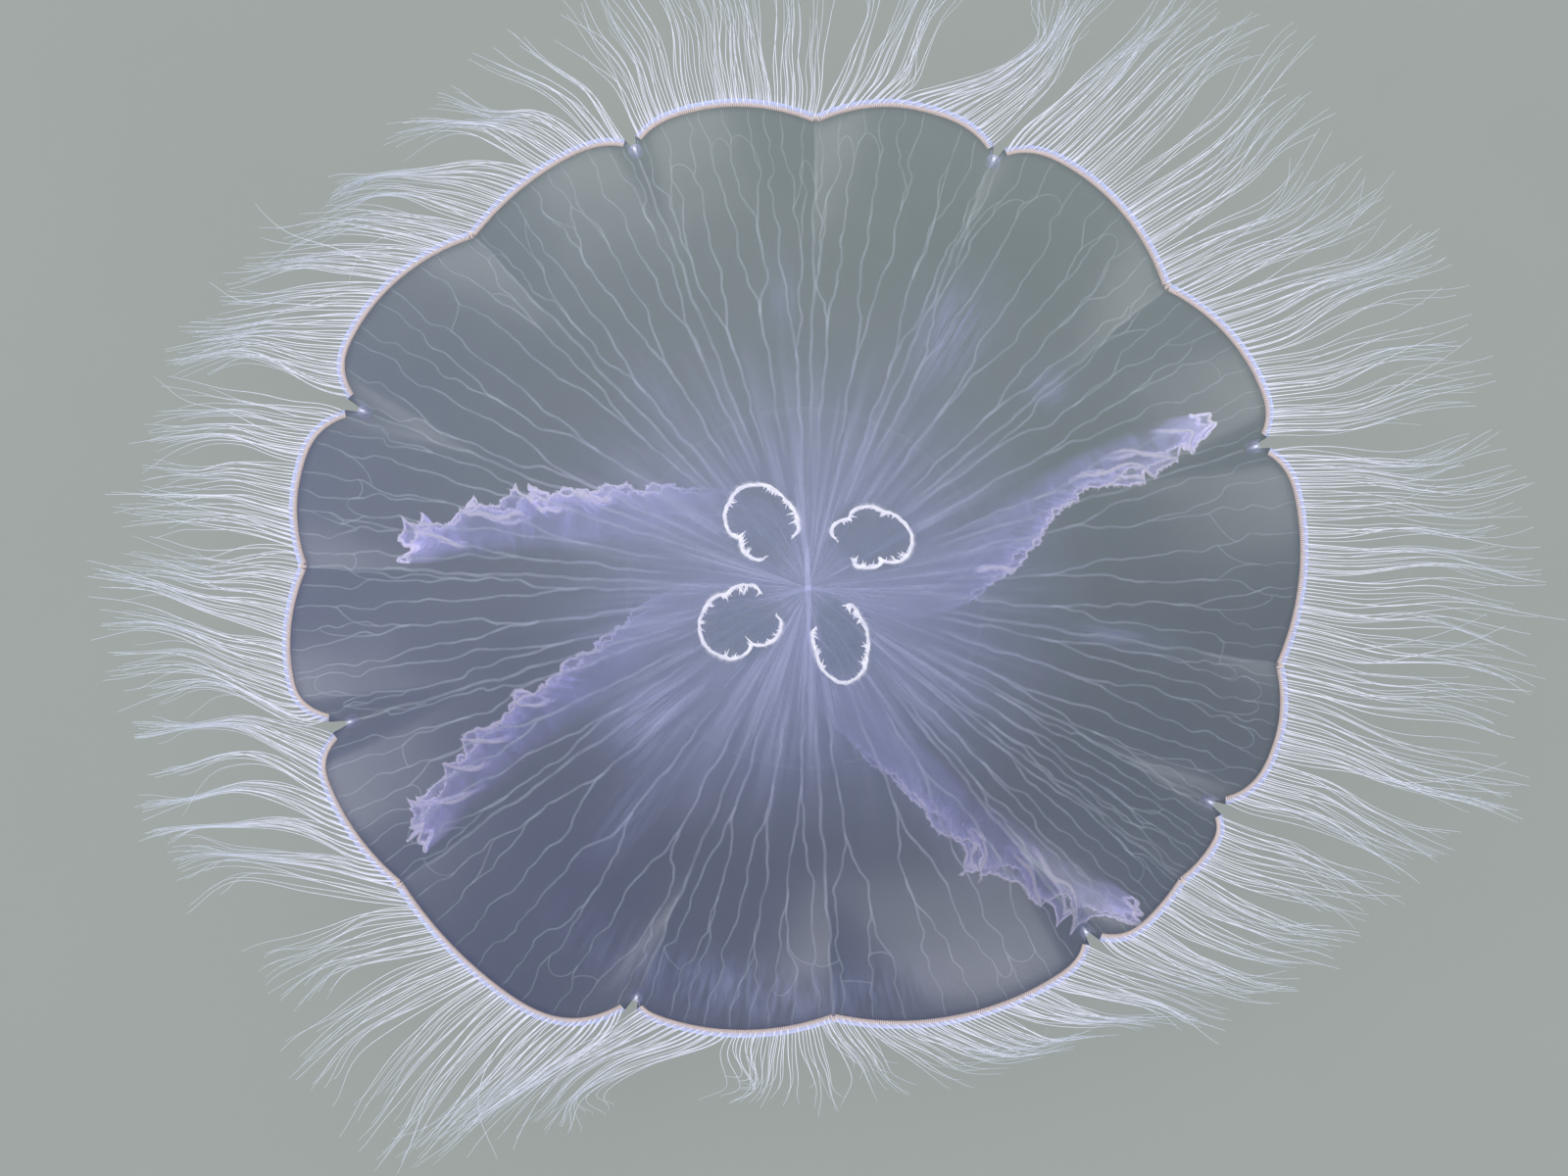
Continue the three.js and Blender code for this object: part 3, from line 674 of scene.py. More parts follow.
def organ_finish(colours):
    """A glossy white bulb in a hood of bluish jelly, both with a painted glow, white at the bulb
    and bluish in the hood.
    """
    f = Finish("sense organ")
    core, place = f.mark("core"), f.place()
    mottle = f.noise(place, 1400.0, 2.0)
    return f.surface(
        Base_Color=f.blend(core, colours.hood, colours.organ),
        Roughness=0.2 + mottle * 0.1,
        Alpha=0.2 + core * 0.8,
        # painted glow: the bulb gives off white light and the hood bluish light, though neither is
        # a lamp
        Emission_Color=f.blend(f.ramp(core, 0.7, 1.0), colours.hood, colours.organ),
        Emission_Strength=0.35,
        Normal=f.bump(mottle, 0.2, 0.0001),
    )


def veil_finish(colours):
    """Thin milky lilac tissue, streaked lengthwise near the mouth and from the midrib to the
    edge further out. Its milk is whiter and denser along edges, ridges and steep folds, and it
    all but vanishes at its root and midrib. It gives off a painted glow of its own colour,
    strongest where its milk is dense."""
    f = Finish("veil")
    along, across, milk = f.mark("along"), f.mark("across"), f.mark("milk")
    place = f.place()
    fibres = f.noise(f.spot(along * 46.0, across * 1.3, along * 3.0), 1.0, 5.0, 0.62)
    strands = f.noise(f.spot(along * 3.0, across * 15.0, along * 5.0), 1.0, 4.0, 0.6)
    clouds = f.noise(place, 110.0, 4.0, 0.6)
    dense = f.ramp(milk * (0.7 + clouds * 0.6), 0.04, 0.9)
    outer = f.ramp(along, 0.15, 0.6)
    streaks = f.ramp(fibres, 0.45, 0.72) * outer + f.ramp(strands, 0.42, 0.7) * (1 - outer * 0.8)
    tissue = 0.08 + streaks * 0.24 + f.ramp(clouds, 0.4, 0.75) * 0.2 * outer
    thin = tissue * (0.2 + f.ramp(along, 0.02, 0.5) * 0.8) * f.ramp(across, 0.0, 0.45)
    colour = f.blend(dense, colours.veil, colours.veil_edge)
    return f.surface(
        Base_Color=colour,
        # painted glow: the tissue gives off light of its own colour, standing in for the light it
        # loses under the bell
        Emission_Color=f.blend(0.6 + dense * 0.4, (0.0, 0.0, 0.0), colour),
        Emission_Strength=0.47,
        Roughness=0.34 + clouds * 0.16,
        Alpha=thin + dense * (0.92 - thin),
        IOR=1.37,
    )


def acrylic_finish(colours, name, outline):
    """Clear polished acrylic with a faint cool body, fine handling marks, and a painted
    reflection that makes it denser where its surface is seen at a slant, as strongly as given."""
    f = Finish(name)
    marks = f.noise(f.place(), 60.0, 4.0, 0.7)
    slant = f.add("ShaderNodeLayerWeight", {}, {"Blend": 0.35}, output="Facing")
    return f.surface(
        Base_Color=f.blend(marks, colours.acrylic, colours.acrylic_deep),
        Roughness=0.04 + f.ramp(marks, 0.55, 0.8) * 0.1,
        # painted reflection: the pale acrylic grows denser where its surface is seen at a slant
        Alpha=0.02 + marks * 0.02 + slant ** 2.5 * outline,
        IOR=1.49,
    )


def floor_finish(colours):
    """A matt pale floor with the faintest mottle."""
    f = Finish("floor")
    mottle = f.noise(f.place(), 5.0, 4.0, 0.6)
    return f.surface(
        Base_Color=f.blend(mottle, colours.floor, colours.floor_shade),
        Roughness=0.85,
    )


# ---- The bell and its canals ----
def loop_reach(gonad, bearing, dents=True):
    """Reach of a gonad's loop from its own centre: an oval's, less pointed dents."""
    along = np.radians(bearing - gonad.turn)
    oval = 1 / np.hypot(np.cos(along) / gonad.long, np.sin(along) / gonad.wide)
    if not dents:
        return oval
    return oval * (1 - sum(
        depth * np.exp(-np.abs(turn_to(at, bearing) / DENT_HALF) ** 1.25)
        for at, depth in gonad.dents
    ))


# Milky clouds in the jelly: bearing, reach, half sizes outwards and along, and strength.
CLOUDS = (
    (61, 80, 14, 10, 0.9), (95, 81, 10, 4, 0.5), (40, 87, 6, 6, 0.7), (351, 86, 14, 3, 0.6),
    (218, 56, 12, 9, 0.8), (232, 78, 16, 6, 0.35), (300, 70, 20, 5, 0.35), (128, 70, 12, 5, 0.4),
    (262, 116, 9, 46, 0.45),
)


def cloud_mask(r, bearing):
    """How milky the jelly is: the largest of the clouds' bell curves."""
    found = np.zeros(np.broadcast(r, bearing).shape)
    for at, reach, outwards, along, strength in CLOUDS:
        aside = np.radians(turn_to(at, bearing)) * reach
        off = ((r - reach) / outwards) ** 2 + (aside / along) ** 2
        found = np.maximum(found, strength * np.exp(-off))
    return found


def pouch_mask(x, y):
    """1 inside the pouches that hold the gonads, easing to 0 just outside their loops."""
    found = np.zeros(np.shape(x))
    for gonad in GONADS:
        dx, dy = x - gonad.x, y - gonad.y
        far = np.hypot(dx, dy) / loop_reach(gonad, np.degrees(np.arctan2(dy, dx)), dents=False)
        found = np.maximum(found, smooth((1.1 - far) / 0.16))
    return found


def skin_bearings():
    """Bearings of the skin's columns: even ones, with more across each notch and dip."""
    even = np.arange(0, 360, 0.62)
    across_niche = np.degrees(np.linspace(-1.9, 1.9, 17) / EDGE[0, 1])
    across_dip = np.array([-0.5, -0.22, 0, 0.22, 0.5])
    niches = (ORGAN_BEARINGS[:, None] + across_niche).ravel()
    dips = (DIP_BEARINGS[:, None] + across_dip).ravel()
    every = np.sort(np.concatenate([even, niches, dips]) % 360)
    return every[np.diff(every, append=every[0] + 360) > 0.02]


def bell_skin_surface(sizes):
    """One closed skin. Down its profile the reach goes from 0 to the edge along the upper
    surface, round a half circle at the edge, and back to 0 along the lower one. It lies a
    little inside the bell's form, and swells and sinks in faint rings."""
    bearing = skin_bearings()[None]
    edge_inset, face_inset, rim = 0.1, 0.15, 0.6
    outer = edge_reach(bearing) - niche(bearing) - edge_inset
    t = np.arange(1, sizes.skin_rows + 1)[:, None] / sizes.skin_rows
    out = (1 - (1 - t) ** 1.55) * (outer - rim)
    swell = 0.12 * np.sin(np.radians(bearing * 5 + 40)) * np.sin(3 * np.pi * t) ** 2
    top = np.stack([out, upper_z(out, bearing) - face_inset + swell], -1)
    turn = np.radians(np.array([60, 25, -25, -60]))[:, None]
    last = out[-1:]
    middle = (upper_z(last, bearing) + lower_z(last, bearing)) / 2
    half = thickness(last, bearing) / 2 - face_inset
    arc = np.stack([last + rim * np.cos(turn), middle + half * np.sin(turn)], -1)
    back = out[::-2]
    bottom = np.stack([back, lower_z(back, bearing) + face_inset], -1)
    profile = np.concatenate([top, arc, bottom])
    r, z = profile[..., 0], profile[..., 1]
    points = polar(r, np.broadcast_to(bearing, r.shape), z)
    pouch = pouch_mask(points[..., 0], points[..., 1])
    under = np.concatenate([
        np.zeros(top.shape[:2]), np.broadcast_to([[0.2], [0.4], [0.6], [0.8]], arc.shape[:2]),
        np.ones(bottom.shape[:2]),
    ])
    pouch_lift = 0.45
    points[..., 2] += pouch * under * pouch_lift
    marks = {
        "reach": r / edge_reach(bearing), "pouch": pouch, "under": under,
        "milk": cloud_mask(r, bearing),
    }
    crown, floor = upper_z(0.0, 0.0) - face_inset, lower_z(0.0, 0.0) + face_inset
    return closed_rows(points, (0, 0, crown), (0, 0, floor), marks, {"under": (0, 1)})


# How many trunks there are; the shares of the reach where trunks start and fork, where seconds
# end in leaves and leaves at the rim; half widths at the start, at each fork and at the rim; how
# many neighbouring leaves are linked; for the straight canals the half widths, where they start,
# and where they end at an organ and at a dip; and, to measure wander by, the reach of the edge
# and the run of a degree.
CANALS = {
    "trunks": 48, "start": 0.235, "fork": (0.40, 0.55), "second": (0.64, 0.80), "rim": 0.98,
    "widths": (0.36, 0.34, 0.27, 0.19), "linked": 0.55, "straight_widths": (0.4, 0.36),
    "straight_start": 0.22, "organ": 0.955, "dip": 0.982, "reach": 140, "degree": 1.7,
}


def weave(rng, t, start, end, run):
    """Sideways wander of many canals at once: waves of three lengths that grow outwards and
    vanish at both ends."""
    count = len(start)
    lengths = np.array([27.0, 12.0, 6.0])
    heights = np.array([1.0, 0.62, 0.26])
    phase = rng.uniform(0, 2 * np.pi, (3, count, 1))
    pitch = lengths[:, None, None] * rng.uniform(0.75, 1.3, (3, count, 1))
    waves = np.sin(2 * np.pi * t * run[:, None] / pitch + phase)
    sharp = np.tanh(1.5 * waves)
    outward_growth = 0.18 + 0.85 * mix(start[:, None], end[:, None], t) ** 1.5
    return (heights[:, None, None] * sharp).sum(0) * outward_growth * np.sin(np.pi * t) ** 0.6


def canal_runs(rng, from_bearing, from_share, to_bearing, to_share, steps):
    """Bearings and shares along many canals: each eases from one bearing to another and
    wanders on the way."""
    t = np.linspace(0, 1, steps)[None]
    outwards = CANALS["reach"] * (to_share - from_share)
    run = np.hypot(outwards, CANALS["degree"] * (to_bearing - from_bearing))
    out = mix(from_share[:, None], to_share[:, None], t)
    bearing = from_bearing[:, None] + (to_bearing - from_bearing)[:, None] * smooth(1.35 * t)
    aside = weave(rng, t, from_share, to_share, run)
    return bearing + np.degrees(aside / (CANALS["reach"] * out)), out


def canal_tubes(bearing, out, start_width, end_width):
    """Flat tubes just above the bell's lower surface, along bearings and shares of the reach.
    They are clear at their two sides, and the milk in them grows from the stomach's edge."""
    r = out * edge_reach(bearing)
    lift = np.minimum(0.85, thickness(r, bearing) / 2)
    paths = polar(r, bearing, lower_z(r, bearing) + lift)
    widths = mix(start_width, end_width, np.linspace(0, 1, out.shape[1]))
    radii = np.broadcast_to(widths * 1.5, out.shape)
    grown = smooth((out - CANALS["start"] + 0.01) / 0.12)
    milk = grown[..., None] * np.array([0.0, 1.0, 1.0, 0.0, 1.0, 1.0])
    return tubes(paths, radii, 6, flat=0.45, marks={"reach": out, "milk": milk})


def canal_surface(rng):
    """The net of canals: trunks from the stomach fork into seconds and those into leaves that
    reach the edge; links join neighbouring leaves; straight stout ones run to the organs and
    to the dips between them."""
    straight = np.sort(np.concatenate([ORGAN_BEARINGS, DIP_BEARINGS]))
    sector = np.diff(straight, append=straight[0] + 360)
    per_sector = CANALS["trunks"] // len(straight)
    count = per_sector * len(straight)
    thirds = (np.arange(per_sector) + 0.5) / per_sector
    trunk = (straight[:, None] + sector[:, None] * thirds).ravel()
    gap = np.repeat(sector / per_sector, per_sector)
    trunk = trunk + gap * rng.uniform(-0.12, 0.12, count)
    fork = rng.uniform(*CANALS["fork"], count)
    seconds, leaves = np.array([-0.27, 0.27]), np.array([-0.34, 0.0, 0.34])
    second = trunk[:, None] + seconds * gap[:, None] * rng.uniform(0.75, 1.15, (count, 2))
    second_share = rng.uniform(*CANALS["second"], (count, 2))
    leaf = trunk[:, None] + leaves * gap[:, None] + rng.uniform(-0.5, 0.5, (count, 3))
    parent = np.stack([np.zeros(count, int), rng.integers(0, 2, count), np.ones(count, int)], 1)
    row = np.arange(count)[:, None]
    leaf_bearing, leaf_share = second[row, parent].ravel(), second_share[row, parent].ravel()
    trunk_run = canal_runs(rng, trunk, np.full(count, CANALS["start"]), trunk, fork, 22)
    second_run = canal_runs(
        rng, np.repeat(trunk, 2), np.repeat(fork, 2), second.ravel(), second_share.ravel(), 20
    )
    leaf_run = canal_runs(
        rng, leaf_bearing, leaf_share, leaf.ravel(), np.full(count * 3, CANALS["rim"]), 30
    )
    bearing, out = canal_runs(
        rng, straight + rng.uniform(-1, 1, len(straight)),
        np.full(len(straight), CANALS["straight_start"]), straight,
        np.where(np.isin(straight, ORGAN_BEARINGS), CANALS["organ"], CANALS["dip"]), 60,
    )
    straight_run = (mix(straight[:, None], bearing, 0.6), out)
    linked = np.flatnonzero(rng.random(count * 3 - 1) < CANALS["linked"])
    first_end, second_end = rng.integers(8, 24, (2, len(linked)))
    t = np.linspace(0, 1, 12)[None]
    first_bearing, first_share = (each[linked, first_end][:, None] for each in leaf_run)
    next_bearing, next_share = (each[linked + 1, second_end][:, None] for each in leaf_run)
    bulge = rng.uniform(-0.03, 0.05, (len(linked), 1)) * np.sin(np.pi * t)
    link_run = (
        mix(first_bearing, next_bearing, smooth(t)),
        np.minimum(0.975, mix(first_share, next_share, t) + bulge),
    )
    start, at_fork, at_leaf, at_rim = CANALS["widths"]
    groups = (
        (trunk_run, (start, at_fork)), (second_run, (at_fork, at_leaf)),
        (leaf_run, (at_leaf, at_rim)), (link_run, (at_rim, at_rim)),
        (straight_run, CANALS["straight_widths"]),
    )
    return joined([
        canal_tubes(*run, *widths).placed((0, number / 5), (1, number / 5 + 0.19))
        for number, (run, widths) in enumerate(groups)
    ])


# ---- The edge band and the tentacles ----
def edge_point(bearing, inset, lift):
    """A point inset from the edge along the edge's own outward direction, on the upper
    surface and lifted from it, with that direction's bearing."""
    step = 0.15
    at = polar(edge_reach(bearing), bearing, 0.0)
    ahead = polar(edge_reach(bearing + step), bearing + step, 0.0)
    behind = polar(edge_reach(bearing - step), bearing - step, 0.0)
    along = unit(ahead - behind)
    out = np.stack([along[..., 1], -along[..., 0], np.zeros(along.shape[:-1])], -1)
    moved = at - out * np.asarray(inset)[..., None]
    r = np.hypot(moved[..., 0], moved[..., 1])
    theta = np.degrees(np.arctan2(moved[..., 1], moved[..., 0]))
    moved[..., 2] = upper_z(np.minimum(r, edge_reach(theta)), theta) + lift
    return moved, np.degrees(np.arctan2(out[..., 1], out[..., 0]))


def lobe_ends(k):
    """Bearings between which lobe k bears tentacles: clear of the notches at its two ends."""
    start = EDGE[4 * k, 0]
    end = EDGE[4 * k + 4, 0] if k + 1 < LOBES else EDGE[0, 0] + 360
    clear = np.degrees(NICHE["clear"] / EDGE[0, 1])
    return start + clear, end - clear


def spread_along(k, spacing):
    """Bearings evenly spaced along the edge of lobe k."""
    start, end = lobe_ends(k)
    fine = np.linspace(start, end, 600)
    at = polar(edge_reach(fine), fine, 0.0)
    length = np.concatenate([[0], np.cumsum(np.linalg.norm(np.diff(at, axis=0), axis=-1))])
    return np.interp(np.linspace(0, length[-1], round(length[-1] / spacing)), length, fine)


PATCH_ROOM, PATCH = 0.003, 0.0028  # room for a strand on the bake map, and what it fills


def strand_patches(bearing, out):
    """Where each strand's patch lies on the bake map: its bearing across, its share of the
    bell's reach upwards."""
    return np.stack([bearing % 360 / 360, out - PATCH_ROOM], -1) * (1 - PATCH_ROOM)


def band_surface(sizes):
    """The band: a flat cord along each lobe's edge, under a row of small spindles that lie
    square to the edge, their width swelling and narrowing as a sine's root, and a knot at each
    dip between two sense organs."""
    pieces = []
    steps, sides = 150, 10
    to_end = np.minimum(np.linspace(0, 1, steps), np.linspace(1, 0, steps))
    width = (BAND / 2) * np.minimum(1, 0.45 + 12 * to_end)
    across = 0.5 + 0.5 * np.cos(2 * np.pi * np.arange(sides) / sides)
    marks = {"across": np.tile(across, (1, steps, 1))}
    for k in range(LOBES):
        bearing = np.linspace(*lobe_ends(k), steps)
        path, _ = edge_point(bearing, np.full(steps, BAND / 2 - 0.05), -0.22)
        cord = tubes(path[None], width[None], sides, flat=0.42, marks=marks)
        pieces.append(cord.placed((0, k * 0.1), (1, k * 0.1 + 0.09)))
    seats = np.concatenate([spread_along(k, sizes.band_spacing / MM) for k in range(LOBES)])
    t = np.linspace(0, 1, 6)[None]
    inset = mix(BAND, -0.2, t) * np.ones((len(seats), 1))
    paths, _ = edge_point(np.broadcast_to(seats[:, None], inset.shape), inset, 0.1)
    width = 0.06 + 0.27 * np.sin(np.pi * (0.06 + 0.88 * t)) ** 0.5 * np.ones((len(seats), 1))
    spindles = tubes(paths, width, 5, flat=0.8, marks={"across": np.broadcast_to(t, inset.shape)})
    pieces.append(spindles.placed((0, 0.82), (1, 1)))
    for number, bearing in enumerate(DIP_BEARINGS):
        at, heading = edge_point(np.array([bearing]), np.array([1.1]), 0.25)
        knot = ball(at[0], (0.95, 0.75, 0.55), heading[0], 8, 12)
        pieces.append(knot.placed((number / 8, 0.805), (number / 8 + 0.1, 0.815)))
    return joined(pieces)


def ball(centre, halves, heading, rows, columns, marks=None):
    """An egg of three half sizes: latitude circles cos b round a heading, sin b up."""
    tilt = np.linspace(-90, 90, rows + 2)[1:-1, None]
    turn = np.arange(columns)[None] * 360 / columns
    a, b = np.radians(turn), np.radians(tilt)
    flat = np.stack([np.cos(b) * np.cos(a) * halves[0], np.cos(b) * np.sin(a) * halves[1]], -1)
    c, s = math.cos(math.radians(heading)), math.sin(math.radians(heading))
    x = flat[..., 0] * c - flat[..., 1] * s
    y = flat[..., 0] * s + flat[..., 1] * c
    z = np.broadcast_to(np.sin(b) * halves[2], x.shape)
    points = np.stack([x, y, z], -1) + centre
    low, high = np.array(centre) - [0, 0, halves[2]], np.array(centre) + [0, 0, halves[2]]
    marks = marks or {}
    return closed_rows(
        points, low, high, {name: np.full(x.shape, value) for name, value in marks.items()},
        {name: (value, value) for name, value in marks.items()},
    )


ROOT_TURN = 48  # widest turn of a tentacle's root from square to the edge
# Shares of tentacles that have a twin and that stray, and how many degrees on a twin stands.
TWINS, STRAYS, TWIN_GAP = 0.3, 0.07, 0.18
TENTACLE_INSETS = (0.35, 0.95, 1.5)  # of the three rows that tentacles grow in


def tentacle_surface(k, sizes, rng):
    """The tentacles of one lobe. Each steps along a heading that turns from the stream's bearing
    at the root to its bearing at the tip, with slow waves, and begins within ROOT_TURN of
    square to the edge, while it sinks as the run to the power 1.6. Neighbours are then drawn
    towards the leader of their lock, most of all two thirds of the way along."""
    seat = spread_along(k, sizes.tentacle_spacing / MM)
    doubled = rng.random(len(seat)) < TWINS
    bearing = np.concatenate([seat, seat[doubled] + TWIN_GAP])
    bearing = np.sort(np.clip(bearing, *lobe_ends(k)))
    count, steps = len(bearing), sizes.tentacle_steps
    each = (count, 1)
    inset = np.resize(TENTACLE_INSETS, count)
    root, square = edge_point(bearing, inset, 0.1)
    _, a, b, share_on = between(STREAM, bearing, 1)
    leave, finish = (a[:, n] + turn_to(a[:, n], b[:, n]) * share_on for n in (0, 1))
    length, drop, gather = (mix(a[:, n], b[:, n], share_on) for n in (2, 3, 4))
    length = length * rng.triangular(0.6, 1.05, 1.16, count)
    drop = drop * rng.uniform(0.7, 1.1, count)
    t = np.linspace(0, 1, steps)[None] ** 1.35
    flow = leave[:, None] + turn_to(leave, finish)[:, None] * smooth(t)
    at = bearing[:, None]
    waves = (
        7.0 * np.sin(2 * np.pi * (0.9 * t + 0.011 * at * 3) + 0.4)
        + 5.0 * np.sin(2 * np.pi * (1.6 * t + rng.normal(0, 0.09, each) + at * 0.021))
        + 3.0 * np.sin(2 * np.pi * (rng.uniform(1.8, 3.2, each) * t + rng.random(each)))
        + rng.normal(0, 3.2, each)
        + rng.normal(0, 9.0, each) * t ** 2
        + (rng.random(each) < STRAYS) * rng.normal(0, 30, each) * t
    ) * np.minimum(1, 3 * t)
    heading = flow + waves
    aside = turn_to(heading, square[:, None] * np.ones((1, steps)))
    over = np.sign(aside) * np.maximum(0, np.abs(aside) - ROOT_TURN)
    heading = heading + over * (1 - smooth(t / 0.2))
    stride = length[:, None] * np.diff(t, axis=1)
    fall = -drop[:, None] * t ** 1.6
    level = np.sqrt(np.maximum(0.2, 1 - (np.diff(fall, axis=1) / stride) ** 2)) * stride
    between_rings = np.radians((heading[:, :-1] + heading[:, 1:]) / 2)
    moves = np.stack([level * np.cos(between_rings), level * np.sin(between_rings)], -1)
    run = np.concatenate([np.zeros((count, 1, 2)), np.cumsum(moves, axis=1)], axis=1)
    paths = root[:, None] + np.concatenate([run, fall[..., None]], -1)
    lock_count = max(3, round((bearing[-1] - bearing[0]) / sizes.lock_width))
    locks = np.sort(rng.uniform(bearing[0], bearing[-1], lock_count))
    nearest = np.abs(bearing[:, None] - locks).argmin(1)
    leaders = np.abs(bearing[None] - locks[:, None]).argmin(1)[nearest]
    firm = rng.uniform(0.5, 1.7, lock_count)[nearest] * gather
    pull = np.minimum(0.94, firm * rng.uniform(0.6, 1.15, count))[:, None, None]
    drawing = smooth(t / 0.72) * (1 - 0.35 * smooth((t - 0.7) / 0.3))
    paths = paths + (paths[leaders] - paths) * pull * drawing[..., None]
    thick = sizes.tentacle_radius / MM * rng.uniform(0.75, 1.2, each)
    radii = thick * (1 - 0.55 * t) * (1 + 0.7 * (1 - smooth(t / 0.09)))
    out = 1 - inset / edge_reach(bearing)
    return tubes(
        paths, radii, 4, corners=strand_patches(bearing, out), patch=PATCH,
        marks={"along": np.broadcast_to(t, radii.shape)},
    )


# ---- Sense organs, gonads and mouth ----
def sense_organ_surface(k):
    """A bulb on a short neck at the bottom of its notch, under a hood that is a part of an egg,
    with a lappet on either side."""
    bearing = ORGAN_BEARINGS[k]
    r = edge_reach(bearing) - ORGAN_INSET
    out = polar(1.0, bearing, 0.0)
    aside = polar(1.0, bearing + 90, 0.0)
    seat = polar(r, bearing, upper_z(r, bearing) - 0.55)
    bulb = ball(seat - out * 0.35, (0.95, 0.56, 0.55), bearing, 10, 16, {"core": 1.0})
    t = np.linspace(0, 1, 9)
    neck_path = (seat + out * mix(-2.8, -0.4, t)[:, None])[None]
    neck = tubes(neck_path, mix(0.62, 0.34, t)[None], 10, marks={"core": mix(0.15, 0.75, t)[None]})
    s, v = np.meshgrid(np.linspace(0, 1, 14), np.linspace(-1, 1, 19), indexing="ij")

    def sheet(outwards, sideways, upwards, half, core):
        # a thin sheet whose middle lies these distances from the seat
        middle = seat + out * outwards[..., None] + aside * sideways[..., None]
        middle = middle + UP * upwards[..., None]
        return shell(middle, np.full(s.shape, half), {"core": core * s})

    fan = 2.0 * np.sin(np.pi * (0.14 + 0.66 * s)) ** 0.8
    arch = 0.78 - 0.75 * v * v + 0.15 * np.sin(np.pi * s)
    hood = sheet(mix(-2.7, 1.1, s) - 0.35 * v * v, fan * v, arch, 0.09, 0.12)
    away = 1.15 + 0.55 * s + 0.28 * v * np.sin(np.pi * (0.1 + 0.8 * s))
    lappets = [
        sheet(mix(-1.2, 1.9, s), hand * away, 0.15 - 0.35 * v - 0.3 * s, 0.08, 0.1)
        for hand in (-1, 1)
    ]
    return joined([
        part.placed((n / 5, 0), (n / 5 + 0.19, 1))
        for n, part in enumerate([bulb, neck, hood, *lappets])
    ])


def gonad_surface(gonad, rng):
    """A cord along its loop, open towards the mouth, with a thin veil that hangs outside it and
    a row of pointed filaments that reach into the loop, longest at the dents and tufts."""
    centre = np.array([gonad.x, gonad.y, 0.0])
    away, towards = math.hypot(gonad.x, gonad.y), math.degrees(math.atan2(gonad.y, gonad.x))
    z = lower_z(away, towards) + GONAD_LIFT
    start = gonad.open + gonad.half
    span = 360 - 2 * gonad.half
    t = np.linspace(0, 1, 260)
    bearing = start + span * t
    wiggle = 0.008 * np.sin(2 * np.pi * 8 * t + gonad.turn) + 0.005 * np.sin(2 * np.pi * 21 * t)
    drawn_in = 0.14 * (1 - smooth(t / 0.06)) + 0.14 * smooth((t - 0.94) / 0.06)
    reach = loop_reach(gonad, bearing) * (1 + wiggle - drawn_in)
    path = centre + polar(reach, bearing, z + 0.12 * np.sin(2 * np.pi * 13 * t))
    ends = smooth(np.minimum(t, 1 - t) / 0.05)
    width = 0.43 + 0.08 * np.sin(2 * np.pi * 7 * t + gonad.x) + 0.05 * np.sin(2 * np.pi * 19 * t)
    width = width * (0.3 + 0.7 * ends)
    cord = tubes(path[None], width[None], 10, flat=1.25, marks={"milk": np.ones((1, len(t)))})
    v = np.linspace(0, 1, 7)[None]
    hang = 1.3 + 0.5 * np.sin(2 * np.pi * 3 * t + gonad.y)[:, None]
    frilled = 0.25 * np.sin(2 * np.pi * 31 * t)[:, None] * v ** 2
    out = reach[:, None] + (0.75 * hang * v + frilled) * ends[:, None]
    hanging = centre + polar(out, bearing[:, None], z - hang * v * ends[:, None])
    every = np.ones(out.shape)
    wall = shell(hanging, 0.1 * every, {"milk": mix(0.5, 0.1, v) * every})
    number = 190  # filaments
    place = np.sort(rng.uniform(0.01, 0.99, number))
    at = start + span * place
    near_dent = np.max([
        min(1, 5 * depth) * np.exp(-((turn_to(to, at) / 9) ** 2)) for to, depth in gonad.dents
    ], axis=0)
    tuft = np.max([np.exp(-((turn_to(to, at) / 4.5) ** 2)) for to in gonad.tufts], axis=0)
    long = 0.7 + 2.3 * np.maximum(tuft, near_dent) * rng.uniform(0.25, 1.0, number) ** 1.4
    step = np.linspace(0, 1, 6)[None]
    inward = np.interp(place, t, reach)[:, None] - long[:, None] * step
    swing = np.degrees(rng.normal(0, 0.45, (number, 1)) * step ** 1.5 * long[:, None] / 9)
    lift = rng.uniform(-0.35, 0.35, (number, 1)) * (0.4 + step)
    paths = centre + polar(inward, at[:, None] + swing, z + lift)
    thin = (0.16 + 0.2 * np.maximum(tuft, near_dent))[:, None] * (1 - 0.85 * step)
    filaments = tubes(paths, thin, 5, marks={"milk": 1 - 0.25 * step + 0 * thin})
    return joined([
        cord.placed((0, 0), (1, 0.3)), wall.placed((0, 0.31), (1, 0.5)),
        filaments.placed((0, 0.51), (1, 1)),
    ])


def veil_marks(shape, along, across, milk):
    """The marks that the veil's finish reads, spread over a grid of points."""
    values = {"along": along, "across": across, "milk": milk}
    return {name: np.broadcast_to(value, shape) for name, value in values.items()}


# Bearing and length of each crease that runs out from the mouth between two gonads, how far
# its end is swung aside, and how milky it is.
CREASES = ((92, 20, 4, 0.42), (198, 12, -10, 0.28), (270, 24, 8, 0.35), (350, 9, 12, 0.22))


